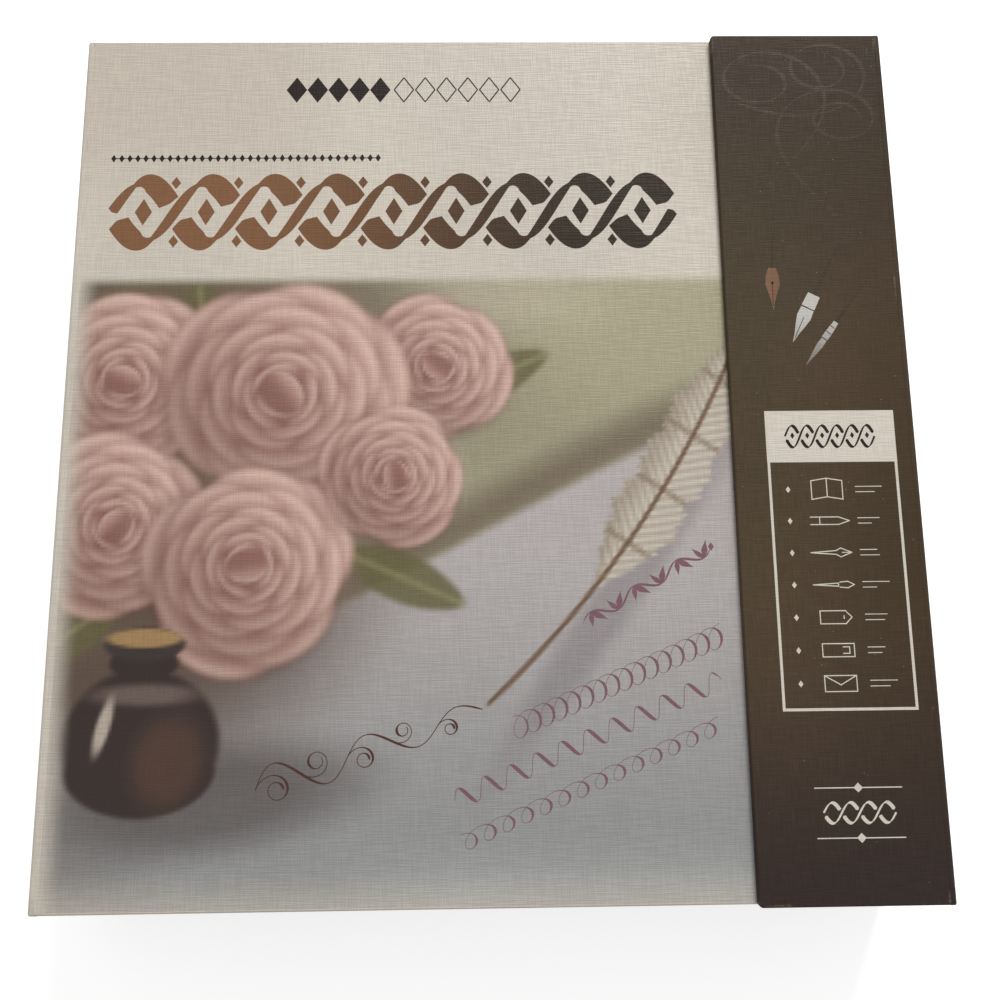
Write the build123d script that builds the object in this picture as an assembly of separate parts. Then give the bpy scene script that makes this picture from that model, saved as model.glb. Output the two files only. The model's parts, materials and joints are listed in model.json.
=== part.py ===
"""A calligraphy set in a rigid, paper-covered box with two doors.

The box lies on its back. +X runs from the spine to the flap's hinge, +Y from foot to head, +Z from the
back to the face. The origin is the middle of the back's underside. All sizes are millimetres.

The case is a row of paper-covered panels round a tray: back, spine, side, front cover and flap. The front
cover turns about the spine's upper edge. The flap turns about the side's upper edge, laps over the cover
and holds it with magnets. A vacuum-formed insert stands in the tray and carries the writing set.
"""

from build123d import *
import os
from math import tan, radians

os.makedirs("parts", exist_ok=True)

# --- case -------------------------------------------------------------------------------------------------
case_width = 288.0  # over the spine and the side
case_height = 300.0  # foot to head
case_depth = 47.6  # back to the face of the closed cover
board = 1.8  # greyboard of every panel and of the tray
paper = 0.2  # one sheet of covering, lining or tape
turn_in = 15.0  # how far a covering folds over the inside of its panel
square = 1.5  # overhang of the panels past the tray, at head and foot
crease = 2.2  # width of a hinge's paper between its two boards
bend_round = 1.2  # outer radius of a paper bend
corner_round = 1.5  # plan radius of a door's free corners
edge_round = 0.6  # round of a covered edge
cover_trim = 0.6  # the cover stops this far short of the case, at head and foot
cover_side_gap = 1.0  # air between the cover's free edge and the side
rim_gap = 0.1  # air between the closed cover and the tray's rim
flap_width = 62.0  # hinge line to free edge
lining_margin = 3.0  # covering left bare round a lining sheet
tape_leg = 18.0  # how far the corner tape runs along each wall

# --- closure ----------------------------------------------------------------------------------------------
magnet_radius = 6.0
magnet_thickness = 1.2
steel_radius = 7.0
steel_thickness = 0.8
magnet_from_edge = 13.0  # centre to the flap's free edge
magnet_spacing = 180.0  # between the two closures
glue = 0.05  # glue line round a part let into a board

# --- insert -----------------------------------------------------------------------------------------------
sheet = 0.8  # thickness of the formed plastic
insert_gap = 0.5  # air between insert and tray
deck_height = 36.0  # top of the deck above the ground
draft = 2.0  # degrees, skirt and wells
insert_round = 5.0  # plan radius of the skirt
deck_round = 2.0  # round of the deck's rim
well_round = 3.0  # plan radius of a well
floor_round = 1.2  # round at the foot of a well
deck_border = 5.0  # deck left between the skirt and the outermost wells
well_gap = 6.0  # deck left between two wells
well_clear = 2.0  # air round what lies in a well, at its foot
over = 4.0  # how far a cutter runs past the deck

# --- book, cards and tags ---------------------------------------------------------------------------------
book_width = 148.0
book_height = 210.0
book_thickness = 5.0
book_cover = 0.35
page_setback = 0.8  # the pages stop this far inside the cover's edges
staple_wire = 0.6
staple_length = 12.0
staple_from_middle = 60.0
envelope_width, envelope_height, envelope_thickness, envelope_count = 114.0, 162.0, 0.5, 5
card_width, card_height, card_thickness, card_count = 105.0, 148.0, 0.7, 4
tag_width, tag_height, tag_thickness, tag_count = 47.0, 78.0, 0.5, 7
tag_clip = 11.0  # cut-off of a gift tag's upper corners
tag_hole = 2.5  # radius
paper_fan = 0.8  # degrees from one sheet of a stack to the next
sheet_corner = 0.8
bottle_tag_width, bottle_tag_height, bottle_tag_count = 41.0, 80.0, 7
bottle_hole = 14.5  # radius of the hole for a bottle's neck
stationery_well_depth = 14.0
tag_well_depth = 9.0

# --- writing tools ----------------------------------------------------------------------------------------
tool_sink = 2.0  # the tools' axes lie this far under the deck
tool_pitch = 27.0
channel_clear = 0.35  # air round a tool in its channel
pen_barrel_radius = 5.9
pen_collar_radius = 6.3
pen_barrel_length = 84.0
pen_tail_radius = 4.2
pen_swell_length = 36.0  # from the tail to the barrel's straight run
pen_spigot = 8.0  # length of the section inside the barrel
pen_collar = 3.0
pen_seat_length = 6.0
pen_grip_step = 1.2  # length of a step of the grip
pen_section_length = 24.0  # collar included
pen_grip_radius = 4.5
pen_seat_radius = 5.6  # the part of the section that the cap fits on
pen_wall = 1.6
cap_radius = 7.0
cap_length = 51.0
cap_run = 0.15  # radial play of the cap on its seat
nib_radius = 2.92  # outer radius of a nib's curve
nib_sheet = 0.3
nib_reach = 20.0  # how far the nib stands out of the section
pen_nib_tips = (1.1, 2.4)  # widths of the two pens' broad edges
pen_nib_wing = 6.0  # the nib is widest as far as this out of the section
nib_vent = 0.6  # radius of the hole at the head of the slit
nib_slit = 0.16
nib_heel = 11.0  # length of the nib and the feed inside the section
nib_play = 0.02  # between a nib and its feed
feed_radius = nib_radius - nib_sheet - nib_play
feed_fins = 5
feed_fin = 0.55
cap_crown = 2.5  # height of the cap's rounded crown
cap_top = 4.0  # thickness of the cap's closed end
clip_length = 32.0
clip_width = 3.2
clip_thickness = 0.8
clip_stand = 1.1  # air between the clip and the cap
cap_travel = 44.0
cartridge_radius = 3.7
cartridge_length = 38.0
cartridge_neck = 2.4
cartridge_bevel = 1.6  # height of its shoulder and of half its neck
cartridge_rows, cartridge_columns = 2, 3
cartridge_gap = 0.4
holder_radius = 4.6
holder_length = 138.0
holder_tail_radius = 1.9
ferrule_wall = 0.6
ferrule_length = 14.0
dip_nib_reach = 24.0  # out of the ferrule
brush_radius = 3.3
brush_handle_length = 134.0
brush_ferrule_length = 21.0
bristle_reach = 18.0
bristle_point = 0.15  # radius of the tuft's tip
scoop_length = 26.0  # finger trough across the tools
scoop_depth = 9.5
scoop_side = 5.0  # the trough runs this far past the outer tools

# --- paints -----------------------------------------------------------------------------------------------
pot_count = 6
pot_side = 20.0
pot_pitch = 22.0
pot_height = 16.0
pot_wall = 1.1
pot_web = 1.2  # thickness of the strip that joins the pots
paint_depth = 10.5
lid_thickness = 1.4
lid_plug = 2.0
lid_play = 0.3  # air round a lid's plug
lid_tab = 1.5
lid_air = 0.05  # between a closed lid and its pot
lid_room = 4.0  # air behind the pots, for the open lids
lid_bead = 0.7  # radius of the bead that a lid turns on
pot_round = 2.5

# --- what follows from the sizes above --------------------------------------------------------------------
half_width = case_width / 2
half_height = case_height / 2
panel = 2 * paper + board  # covering, board and the covering's fold
door = panel + paper  # the same with a lining
face_z = case_depth  # face of the closed cover
flap_z = face_z + door  # face of the closed flap
cover_under = face_z - door
rim_z = cover_under - rim_gap
floor_top = panel + board  # the tray stands on the back panel
lined_floor = floor_top + paper
tray_half_x = half_width - panel
tray_half_y = half_height - square
skin = 2 * paper  # covering over the corner tape
room_half_x = tray_half_x - skin - board - paper
room_half_y = tray_half_y - skin - board - paper
cover_free_x = half_width - panel - cover_side_gap
slope = tan(radians(draft))
deck_half_x = room_half_x - insert_gap - (deck_height - lined_floor) * slope
deck_half_y = room_half_y - insert_gap - (deck_height - lined_floor) * slope
well_x = deck_half_x - deck_border
well_y = deck_half_y - deck_border

tool_z = deck_height - tool_sink
pen_nib_tip = pen_barrel_length + pen_section_length + nib_reach
cap_mouth = pen_barrel_length + pen_collar + 2 * lid_air
capped_length = cap_mouth + cap_length
tool_tail_y = well_y - capped_length - cap_travel - 2 * channel_clear
first_tool_x = well_x - 3 * tool_pitch - holder_radius
tool_x = [first_tool_x + n * tool_pitch for n in range(4)]  # two pens, dip pen, brush
tool_well_foot = tool_tail_y - channel_clear

stationery_spread = 2 * (well_clear + stationery_well_depth * slope)
stationery_w = book_width + stationery_spread
stationery_h = book_height + stationery_spread
stationery_x = -well_x + stationery_w / 2
stationery_y = well_y - stationery_h / 2
stationery_floor = deck_height - stationery_well_depth

paint_floor = lined_floor + sheet
paint_slack = well_clear + (deck_height - paint_floor) * slope
pots_length = (pot_count - 1) * pot_pitch + pot_side
paint_w = pots_length + 2 * paint_slack
paint_h = pot_side + lid_tab + 2 * paint_slack + lid_room
paint_x = stationery_x
paint_y = stationery_y - stationery_h / 2 - well_gap - paint_h / 2
hinge_y = paint_y + paint_h / 2 - paint_slack - lid_room
pots_y = hinge_y - lid_bead - pot_side / 2
pot_top = paint_floor + pot_height
hinge_z = pot_top + lid_air + lid_bead

cartridge_pitch = 2 * cartridge_radius + cartridge_gap
ink_floor = deck_height - 2 * cartridge_radius - well_clear
ink_spread = 2 * (deck_height - ink_floor) * slope
ink_w = cartridge_columns * (cartridge_length + well_clear) + well_clear + ink_spread
ink_h = cartridge_rows * cartridge_pitch + 2 * well_clear + ink_spread
ink_x = stationery_x
ink_y = -well_y + ink_h / 2

tag_spread = 2 * (well_clear + tag_well_depth * slope)
tag_floor = deck_height - tag_well_depth
tag_w = tag_width + tag_spread
tag_h = bottle_tag_height + tag_spread
tag_y = -well_y + tag_h / 2
bottle_w = bottle_tag_width + tag_spread
bottle_x = well_x - bottle_w / 2
gift_x = bottle_x - bottle_w / 2 - well_gap - tag_w / 2


def block(x0, x1, y0, y1, z0, z1):
    """A box between two corners."""
    return Pos(x0, y0, z0) * Box(x1 - x0, y1 - y0, z1 - z0, align=(Align.MIN,) * 3)


def edges_at(solid, axis, value, along=None):
    """Edges whose middle lies at a value of an axis, and that run along another where it is given."""
    number = {Axis.X: 0, Axis.Y: 1, Axis.Z: 2}[axis]
    found = [edge for edge in solid.edges() if abs(tuple(edge.center())[number] - value) < 1e-4]
    if along is None:
        return found
    return [edge for edge in found if abs(edge.tangent_at(0.5).dot(along.direction)) > 0.99]


def topmost(edges):
    """The highest edge, as a list."""
    return [max(edges, key=lambda edge: edge.center().Z)]


def turned(*lines):
    """A solid turned about the Y axis from a closed outline in the XY plane."""
    return revolve(make_face(Wire(list(lines))), Axis.Y)


def lathe(points):
    """A solid turned about the Y axis from (radius, length) points."""
    return revolve(make_face(Polyline(*points, close=True)), Axis.Y)


# --- case panels ------------------------------------------------------------------------------------------
def past_hinge(edges):
    """The edges of a panel that don't lie along its hinge, at x 0."""
    return [edge for edge in edges if edge.center().X > paper]


def covered_panel(width, height, free_edge, rounded):
    """A board and its paper covering, outer face up at z 0, hinge edge at x 0.

    The paper laps the head and the foot, and the free edge where there is one, and folds over inside.
    """
    lap = paper if free_edge else 0.0
    fold = turn_in if free_edge else 0.0
    outer = block(0, width, -height / 2, height / 2, -panel, 0)
    inner = block(0, width - lap, -height / 2 + paper, height / 2 - paper, paper - panel, -paper)
    if rounded:
        outer = fillet(edges_at(outer, Axis.X, width, Axis.Z), corner_round)
        inner = fillet(edges_at(inner, Axis.X, width - lap, Axis.Z), corner_round - paper)
        outer = fillet(past_hinge(edges_at(outer, Axis.Z, 0)), edge_round)
        inner = fillet(past_hinge(edges_at(inner, Axis.Z, -paper)), edge_round - paper)
    window = block(0, width - fold, turn_in - height / 2, height / 2 - turn_in, -panel, paper - panel)
    return inner, outer - inner - window


def door_lining(width, height):
    """The sheet inside a door, thicker inside the covering's fold, where it lies on the board."""
    reach, fill_reach = height / 2 - lining_margin, height / 2 - turn_in
    sheet_over = block(0, width - lining_margin, -reach, reach, -door, -panel)
    return sheet_over + block(0, width - turn_in, -fill_reach, fill_reach, -panel, paper - panel)


def hinge_paper(height, top_z, low_z):
    """Two glued sheets of paper, bent round the case's upper edge at x 0, with the case towards +x."""
    outer = block(0, crease, -height / 2, height / 2, low_z, top_z)
    inner = block(2 * paper, crease, -height / 2, height / 2, low_z, top_z - 2 * paper)
    outer = fillet(topmost(edges_at(outer, Axis.X, 0, Axis.Y)), bend_round)
    inner = fillet(topmost(edges_at(inner, Axis.X, 2 * paper, Axis.Y)), bend_round - 2 * paper)
    return outer - inner


def back_panel():
    """The back board, and the covering that turns up round both long edges and folds over head and foot."""
    outer = block(-half_width, half_width, -half_height, half_height, 0, panel)
    outer = fillet([edge for edge in edges_at(outer, Axis.Z, 0, Axis.Y)], bend_round)
    in_x, in_y = half_width - paper, half_height - paper
    inner = block(-in_x, in_x, -in_y, in_y, paper, panel)
    inner = fillet([edge for edge in edges_at(inner, Axis.Z, paper, Axis.Y)], bend_round - paper)
    board_x, fold_y = half_width - crease, half_height - turn_in
    covering = outer - inner
    covering += block(-board_x, board_x, fold_y, in_y, panel - paper, panel)
    covering += block(-board_x, board_x, -in_y, -fold_y, panel - paper, panel)
    return block(-board_x, board_x, -in_y, in_y, paper, panel - paper), covering


def make_case():
    """The fixed panels of the case, each board with its covering."""
    back_board, back_covering = back_panel()
    spine_height = rim_z - panel
    spine = covered_panel(spine_height, case_height, False, False)
    spine_place = Plane(origin=(-half_width, 0, rim_z), x_dir=(0, 0, -1), z_dir=(-1, 0, 0)).location
    side_top = face_z - rim_gap
    side = covered_panel(side_top - panel, case_height, False, False)
    side_place = Plane(origin=(half_width, 0, side_top), x_dir=(0, 0, -1), z_dir=(1, 0, 0)).location
    return {
        "back_board": back_board,
        "back_covering": back_covering,
        "spine_board": spine_place * spine[0],
        "spine_covering": spine_place * spine[1],
        "side_board": side_place * side[0],
        "side_covering": side_place * side[1],
    }


def closure_discs(radius, thickness, x, z):
    """One disc for each closure, standing on z."""
    return [
        Pos(x, y, z) * Cylinder(radius, thickness, align=(Align.CENTER, Align.CENTER, Align.MIN))
        for y in (-magnet_spacing / 2, magnet_spacing / 2)
    ]


def make_cover():
    """The front cover: board with steel discs let in under its covering, lining, and its paper hinge."""
    width = cover_free_x - (crease - half_width)
    height = case_height - 2 * cover_trim
    place = Pos(crease - half_width, 0, face_z)
    cover_board, covering = (place * solid for solid in covered_panel(width, height, True, True))
    magnet_x = half_width - flap_width + magnet_from_edge
    disc_z = face_z - paper - steel_thickness
    discs = closure_discs(steel_radius, steel_thickness, magnet_x, disc_z)
    for pocket in closure_discs(steel_radius + glue, steel_thickness, magnet_x, disc_z):
        cover_board -= pocket
    return {
        "cover_board": cover_board,
        "cover_covering": covering,
        "cover_lining": place * door_lining(width, height),
        "cover_steel_discs": Compound(discs),
        "cover_hinge_paper": Pos(-half_width, 0, 0) * hinge_paper(height, face_z, rim_z),
    }


def make_flap():
    """The closing flap: board with magnets let in under its lining, covering, and its paper hinge."""
    width = flap_width - crease
    place = Pos(half_width - crease, 0, flap_z) * Rot(0, 0, 180)
    flap_board, covering = (place * solid for solid in covered_panel(width, case_height, True, True))
    magnet_x = half_width - flap_width + magnet_from_edge
    magnet_z = flap_z - panel + paper
    magnets = closure_discs(magnet_radius, magnet_thickness, magnet_x, magnet_z)
    for pocket in closure_discs(magnet_radius + glue, magnet_thickness, magnet_x, magnet_z):
        flap_board -= pocket
    bend = Pos(half_width, 0, 0) * Rot(0, 0, 180) * hinge_paper(case_height, flap_z, face_z - rim_gap)
    return {
        "flap_board": flap_board,
        "flap_covering": covering,
        "flap_lining": place * door_lining(width, case_height),
        "flap_magnets": Compound(magnets),
        "flap_hinge_paper": bend,
    }


# --- tray -------------------------------------------------------------------------------------------------
def make_tray():
    """The tray: one folded blank, paper tape at its corners, a covering over its walls, a floor lining."""
    out_x, out_y = tray_half_x - skin, tray_half_y - skin
    in_x, in_y = out_x - board, out_y - board
    wall_top = rim_z - paper
    blank = block(-out_x, out_x, -out_y, out_y, panel, wall_top)
    blank -= block(-in_x, in_x, -in_y, in_y, floor_top, rim_z)
    walls = block(-out_x - paper, out_x + paper, -out_y - paper, out_y + paper, panel, wall_top)
    walls -= block(-in_x, in_x, -in_y, in_y, panel, rim_z)
    covering = block(-tray_half_x, tray_half_x, -tray_half_y, tray_half_y, panel, rim_z) - walls
    covering -= block(-room_half_x, room_half_x, -room_half_y, room_half_y, panel, rim_z)
    covering -= block(-in_x, in_x, -in_y, in_y, panel, lined_floor)
    ring = block(-out_x - paper, out_x + paper, -out_y - paper, out_y + paper, panel, wall_top)
    ring -= block(-out_x, out_x, -out_y, out_y, panel, wall_top)
    ring -= block(-out_x + tape_leg, out_x - tape_leg, -half_height, half_height, panel, wall_top)
    ring -= block(-half_width, half_width, -out_y + tape_leg, out_y - tape_leg, panel, wall_top)
    return {
        "tray_blank": blank,
        "tray_covering": covering,
        "tray_corner_tape": ring,
        "tray_floor_lining": block(-in_x, in_x, -in_y, in_y, floor_top, lined_floor),
    }


# --- insert -----------------------------------------------------------------------------------------------
def drafted(x, y, width, height, depth, plan_round):
    """A drafted block that hangs from the deck, with its plan corners rounded."""
    top = Plane(origin=(x, y, deck_height), z_dir=(0, 0, -1))
    return extrude(top * RectangleRounded(width, height, plan_round), depth, taper=draft)


def well(x, y, width, height, floor_z):
    """A drafted well: its hollow, which runs out past the deck, and the cup of sheet round it."""
    depth = deck_height - floor_z
    hollow = drafted(x, y, width, height, depth, well_round)
    hollow = fillet(edges_at(hollow, Axis.Z, floor_z), floor_round)
    cup = drafted(x, y, width + 2 * sheet, height + 2 * sheet, depth + sheet, well_round + sheet)
    mouth = extrude(Pos(x, y, deck_height) * RectangleRounded(width, height, well_round), over)
    return hollow + mouth, cup


def channel(x, y0, y1, radius):
    """A round-bottomed channel along Y for a tool: its hollow and the sheet round it."""
    length, middle = y1 - y0, (y0 + y1) / 2

    def shape(extra, top):
        """The channel with its walls moved out by extra, and open up to top."""
        half = radius + extra
        run = Pos(x, middle, tool_z) * Rot(90, 0, 0) * Cylinder(half, length + 2 * extra)
        bed = run & block(x - half, x + half, y0 - extra, y1 + extra, tool_z - half, tool_z)
        return bed + block(x - half, x + half, y0 - extra, y1 + extra, tool_z, top)

    return shape(0.0, deck_height + over), shape(sheet, deck_height)


def tool_channels():
    """The channels of the two pens, each wider where the cap runs, then the dip pen's and the brush's."""
    head = well_y
    made = []
    cap_foot = tool_tail_y + cap_mouth - channel_clear
    for x in tool_x[:2]:
        made.append(channel(x, tool_well_foot, head, pen_collar_radius + channel_clear))
        made.append(channel(x, cap_foot, head, cap_radius + channel_clear))
    made.append(channel(tool_x[2], tool_well_foot, head, holder_radius + channel_clear))
    made.append(channel(tool_x[3], tool_well_foot, head, brush_radius + channel_clear))
    return made


def hat(inset):
    """A drafted block on the tray's floor, its faces moved in by inset."""
    base_x, base_y = room_half_x - insert_gap - inset, room_half_y - insert_gap - inset
    base = Pos(0, 0, lined_floor) * RectangleRounded(2 * base_x, 2 * base_y, insert_round - inset)
    top = deck_height - inset
    solid = extrude(base, top - lined_floor, taper=draft)
    return fillet(edges_at(solid, Axis.Z, top), deck_round - inset)


def make_insert():
    """The insert: a drafted hat of thin sheet that stands on the tray, with wells let into its deck."""
    outer = hat(0.0)
    inner = hat(sheet)
    scoop_foot = tool_tail_y + pen_barrel_length / 2 - scoop_length / 2
    scoop_x0 = tool_x[0] - pen_collar_radius - scoop_side
    scoop_x1 = tool_x[3] + brush_radius + scoop_side
    pairs = [
        well(stationery_x, stationery_y, stationery_w, stationery_h, stationery_floor),
        well(paint_x, paint_y, paint_w, paint_h, paint_floor),
        well(ink_x, ink_y, ink_w, ink_h, ink_floor),
        well(gift_x, tag_y, tag_w, tag_h, tag_floor),
        well(bottle_x, tag_y, bottle_w, tag_h, tag_floor),
        well(
            (scoop_x0 + scoop_x1) / 2,
            scoop_foot + scoop_length / 2,
            scoop_x1 - scoop_x0,
            scoop_length,
            deck_height - scoop_depth,
        ),
        *tool_channels(),
    ]
    shell = outer - inner
    for _, cup in pairs:
        shell += cup
    for hollow, _ in pairs:
        shell -= hollow
    return {"insert_tray": shell}


# --- stationery -------------------------------------------------------------------------------------------
def make_book():
    """A stapled booklet: one folded cover, a block of pages and two wire staples in the fold."""
    x0 = stationery_x - book_width / 2
    y0 = stationery_y - book_height / 2
    z0 = stationery_floor + lid_air
    z1 = z0 + book_thickness
    fold = book_thickness / 2 - lid_air
    outer = block(x0, x0 + book_width, y0, y0 + book_height, z0, z1)
    outer = fillet(edges_at(outer, Axis.X, x0, Axis.Y), fold)
    inner = block(x0 + book_cover, x0 + book_width, y0, y0 + book_height, z0 + book_cover, z1 - book_cover)
    inner = fillet(edges_at(inner, Axis.X, x0 + book_cover, Axis.Y), fold - book_cover)
    pages = inner & block(
        x0,
        x0 + book_width - page_setback,
        y0 + page_setback,
        y0 + book_height - page_setback,
        z0,
        z1,
    )
    middle_y, middle_z = stationery_y, (z0 + z1) / 2
    staples = [
        Pos(x0 - staple_wire / 2, middle_y + offset, middle_z)
        * Rot(90, 0, 0)
        * Cylinder(staple_wire / 2, staple_length)
        for offset in (-staple_from_middle, staple_from_middle)
    ]
    return {"book_cover": outer - inner, "book_pages": pages, "book_staples": Compound(staples)}


def fan(count, step, turn, one):
    """Sheets laid on each other, each turned a little from the last."""
    return [Pos(0, 0, n * step) * Rot(0, 0, turn * (n % 3 - 1)) * one for n in range(count)]


def sheet_of(width, height, thickness, corner):
    """One flat piece of stationery, its underside at z 0."""
    return extrude(RectangleRounded(width, height, corner), thickness)


def make_stationery():
    """Envelopes on the book and folded cards on the envelopes."""
    one = sheet_of(envelope_width, envelope_height, envelope_thickness, sheet_corner)
    card = sheet_of(card_width, card_height, card_thickness, sheet_corner)
    slit = card_thickness / 5
    low = (card_thickness - slit) / 2
    half_w, half_h = card_width / 2, card_height / 2
    card -= block(card_thickness - half_w, half_w, -half_h, half_h, low, low + slit)
    envelope_z = stationery_floor + lid_air + book_thickness
    card_z = envelope_z + envelope_count * envelope_thickness
    envelopes = Compound(fan(envelope_count, envelope_thickness, paper_fan, one))
    cards = Compound(fan(card_count, card_thickness, -paper_fan, card))
    return {
        "envelopes": Pos(stationery_x, stationery_y, envelope_z) * envelopes,
        "note_cards": Pos(stationery_x, stationery_y, card_z) * cards,
    }


def make_tags():
    """A stack of gift tags with clipped corners, and a stack of tags that hang on a bottle's neck."""
    half_w, half_h = tag_width / 2, tag_height / 2
    gift = Polyline(
        (-half_w, -half_h),
        (half_w, -half_h),
        (half_w, half_h - tag_clip),
        (half_w - tag_clip, half_h),
        (tag_clip - half_w, half_h),
        (-half_w, half_h - tag_clip),
        close=True,
    )
    gift_hole = Pos(0, half_h - tag_clip * 0.75) * Circle(tag_hole)
    gift_sheet = extrude(make_face(gift) - gift_hole, tag_thickness)
    bottle = RectangleRounded(bottle_tag_width, bottle_tag_height, bottle_tag_width / 2 - sheet_corner)
    bottle += Pos(0, -bottle_tag_height / 4) * Rectangle(bottle_tag_width, bottle_tag_height / 2)
    hole_y = bottle_tag_height / 2 - bottle_tag_width / 2
    bottle_sheet = extrude(bottle - Pos(0, hole_y) * Circle(bottle_hole), tag_thickness)
    tag_z = tag_floor + lid_air
    gifts = Compound(fan(tag_count, tag_thickness, paper_fan, gift_sheet))
    bottles = Compound(fan(bottle_tag_count, tag_thickness, paper_fan, bottle_sheet))
    return {
        "gift_tags": Pos(gift_x, tag_y, tag_z) * gifts,
        "bottle_tags": Pos(bottle_x, tag_y, tag_z) * bottles,
    }


# --- writing tools: each lies along +Y from its tail at the origin ----------------------------------------
def cartridge():
    """An ink cartridge with its sealed neck."""
    return lathe(
        [
            (0, 0),
            (cartridge_radius - cartridge_bevel / 2, 0),
            (cartridge_radius, cartridge_bevel / 2),
            (cartridge_radius, cartridge_length - 3 * cartridge_bevel),
            (cartridge_neck, cartridge_length - 2 * cartridge_bevel),
            (cartridge_neck, cartridge_length),
            (0, cartridge_length),
        ]
    )


def rod(radius, y0, y1):
    """A round bar along Y."""
    return Pos(0, (y0 + y1) / 2, 0) * Rot(90, 0, 0) * Cylinder(radius, y1 - y0)


def half_tube(radius, thickness, y0, y1):
    """The upper half of a thin tube along Y."""
    tube = rod(radius, y0, y1) - rod(radius - thickness, y0, y1)
    return tube & block(-radius, radius, y0, y1, thickness / 2, radius)


def nib(radius, heel, shoulder, tip, half_tip):
    """A nib: a curved sheet cut to its outline, with a vent and a slit from the vent to the tip."""
    half_heel = radius - nib_sheet
    waist, middle = half_heel * 0.62, (shoulder + tip) / 2
    outline = make_face(
        Wire(
            [
                Line((-half_heel, heel), (half_heel, heel)),
                Line((half_heel, heel), (half_heel, shoulder)),
                ThreePointArc((half_heel, shoulder), (waist, middle), (half_tip, tip)),
                Line((half_tip, tip), (-half_tip, tip)),
                ThreePointArc((-half_tip, tip), (-waist, middle), (-half_heel, shoulder)),
                Line((-half_heel, shoulder), (-half_heel, heel)),
            ]
        )
    )
    outline -= Pos(0, shoulder) * Circle(nib_vent)
    outline -= Pos(0, middle) * Rectangle(nib_slit, tip - shoulder + nib_slit)
    return half_tube(radius, nib_sheet, heel, tip) & extrude(outline, 2 * radius)


def feed(front):
    """The ink feed under the nib: a rod whose underside rises to the nib's tip, with fins cut in it."""
    neck = pen_barrel_length + pen_section_length
    low, high = -feed_radius - over, feed_radius
    bar = rod(feed_radius, neck - nib_heel, front)
    ramp = Polyline((neck + over, low), (front + over, low), (front + over, high), close=True)
    bar -= Pos(-feed_radius, 0, 0) * extrude(Plane.YZ * make_face(ramp), 2 * feed_radius)
    for n in range(feed_fins):
        y = neck + (2 * n + 2) * feed_fin
        groove = rod(feed_radius + over, y - feed_fin / 2, y + feed_fin / 2)
        groove -= rod(feed_radius - feed_fin, y - feed_fin / 2, y + feed_fin / 2)
        bar -= groove & block(low, high + over, y - feed_fin, y + feed_fin, low, 0)
    return bar


def pen_barrel():
    """The barrel, domed at its tail, swelling to a straight run, and bored for a cartridge."""
    bore = pen_barrel_radius - pen_wall
    bottom = pen_barrel_length - pen_spigot - cartridge_length - well_clear
    dome = pen_tail_radius / 2
    swell_middle = (pen_swell_length + dome) / 2
    swell_radius = pen_tail_radius + 0.7 * (pen_barrel_radius - pen_tail_radius)
    return turned(
        ThreePointArc((0, 0), (0.75 * pen_tail_radius, dome / 3), (pen_tail_radius, dome)),
        ThreePointArc(
            (pen_tail_radius, dome), (swell_radius, swell_middle), (pen_barrel_radius, pen_swell_length)
        ),
        Line((pen_barrel_radius, pen_swell_length), (pen_barrel_radius, pen_barrel_length)),
        Line((pen_barrel_radius, pen_barrel_length), (bore, pen_barrel_length)),
        Line((bore, pen_barrel_length), (bore, bottom)),
        Line((bore, bottom), (0, bottom)),
        Line((0, bottom), (0, 0)),
    )


def pen_section():
    """The grip: a collar, the cap's seat, a waisted grip, a spigot in the barrel and the nib's bore."""
    start = pen_barrel_length
    front = start + pen_section_length
    spigot = pen_barrel_radius - pen_wall - lid_air
    nib_bore = nib_radius + lid_air
    seat = start + pen_collar + pen_seat_length
    lip = 1.1 * pen_grip_radius
    feed_bore = cartridge_neck / 2
    return lathe(
        [
            (feed_bore, start - pen_spigot),
            (spigot, start - pen_spigot),
            (spigot, start),
            (pen_collar_radius, start),
            (pen_collar_radius, start + pen_collar),
            (pen_seat_radius, start + pen_collar),
            (pen_seat_radius, seat),
            (lip, seat + pen_grip_step),
            (pen_grip_radius, front - 3 * pen_grip_step),
            (lip, front - pen_grip_step),
            (pen_grip_radius, front),
            (nib_bore, front),
            (nib_bore, front - nib_heel),
            (feed_bore, front - nib_heel),
        ]
    )


def pen_clip():
    """A sprung strip that stands off the cap and bears on it with its tip."""
    foot = cap_mouth + cap_length - 2 * cap_crown
    tip = foot - clip_length
    root, low = cap_radius - clip_stand, cap_radius + clip_stand
    high = low + clip_thickness
    chamfer = clip_thickness / 2
    touch = cap_radius + 2 * lid_air
    bar = Polyline(
        (foot, root),
        (foot + 2 * clip_thickness, root),
        (foot + 2 * clip_thickness, high - chamfer),
        (foot + 2 * clip_thickness - chamfer, high),
        (tip + 2 * chamfer, high),
        (tip, high - chamfer),
        (tip, touch),
        (tip + clip_thickness, touch),
        (tip + clip_thickness + clip_stand, low),
        (foot, low),
        close=True,
    )
    return Pos(-clip_width / 2, 0, 0) * extrude(Plane.YZ * make_face(bar), clip_width)


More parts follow.
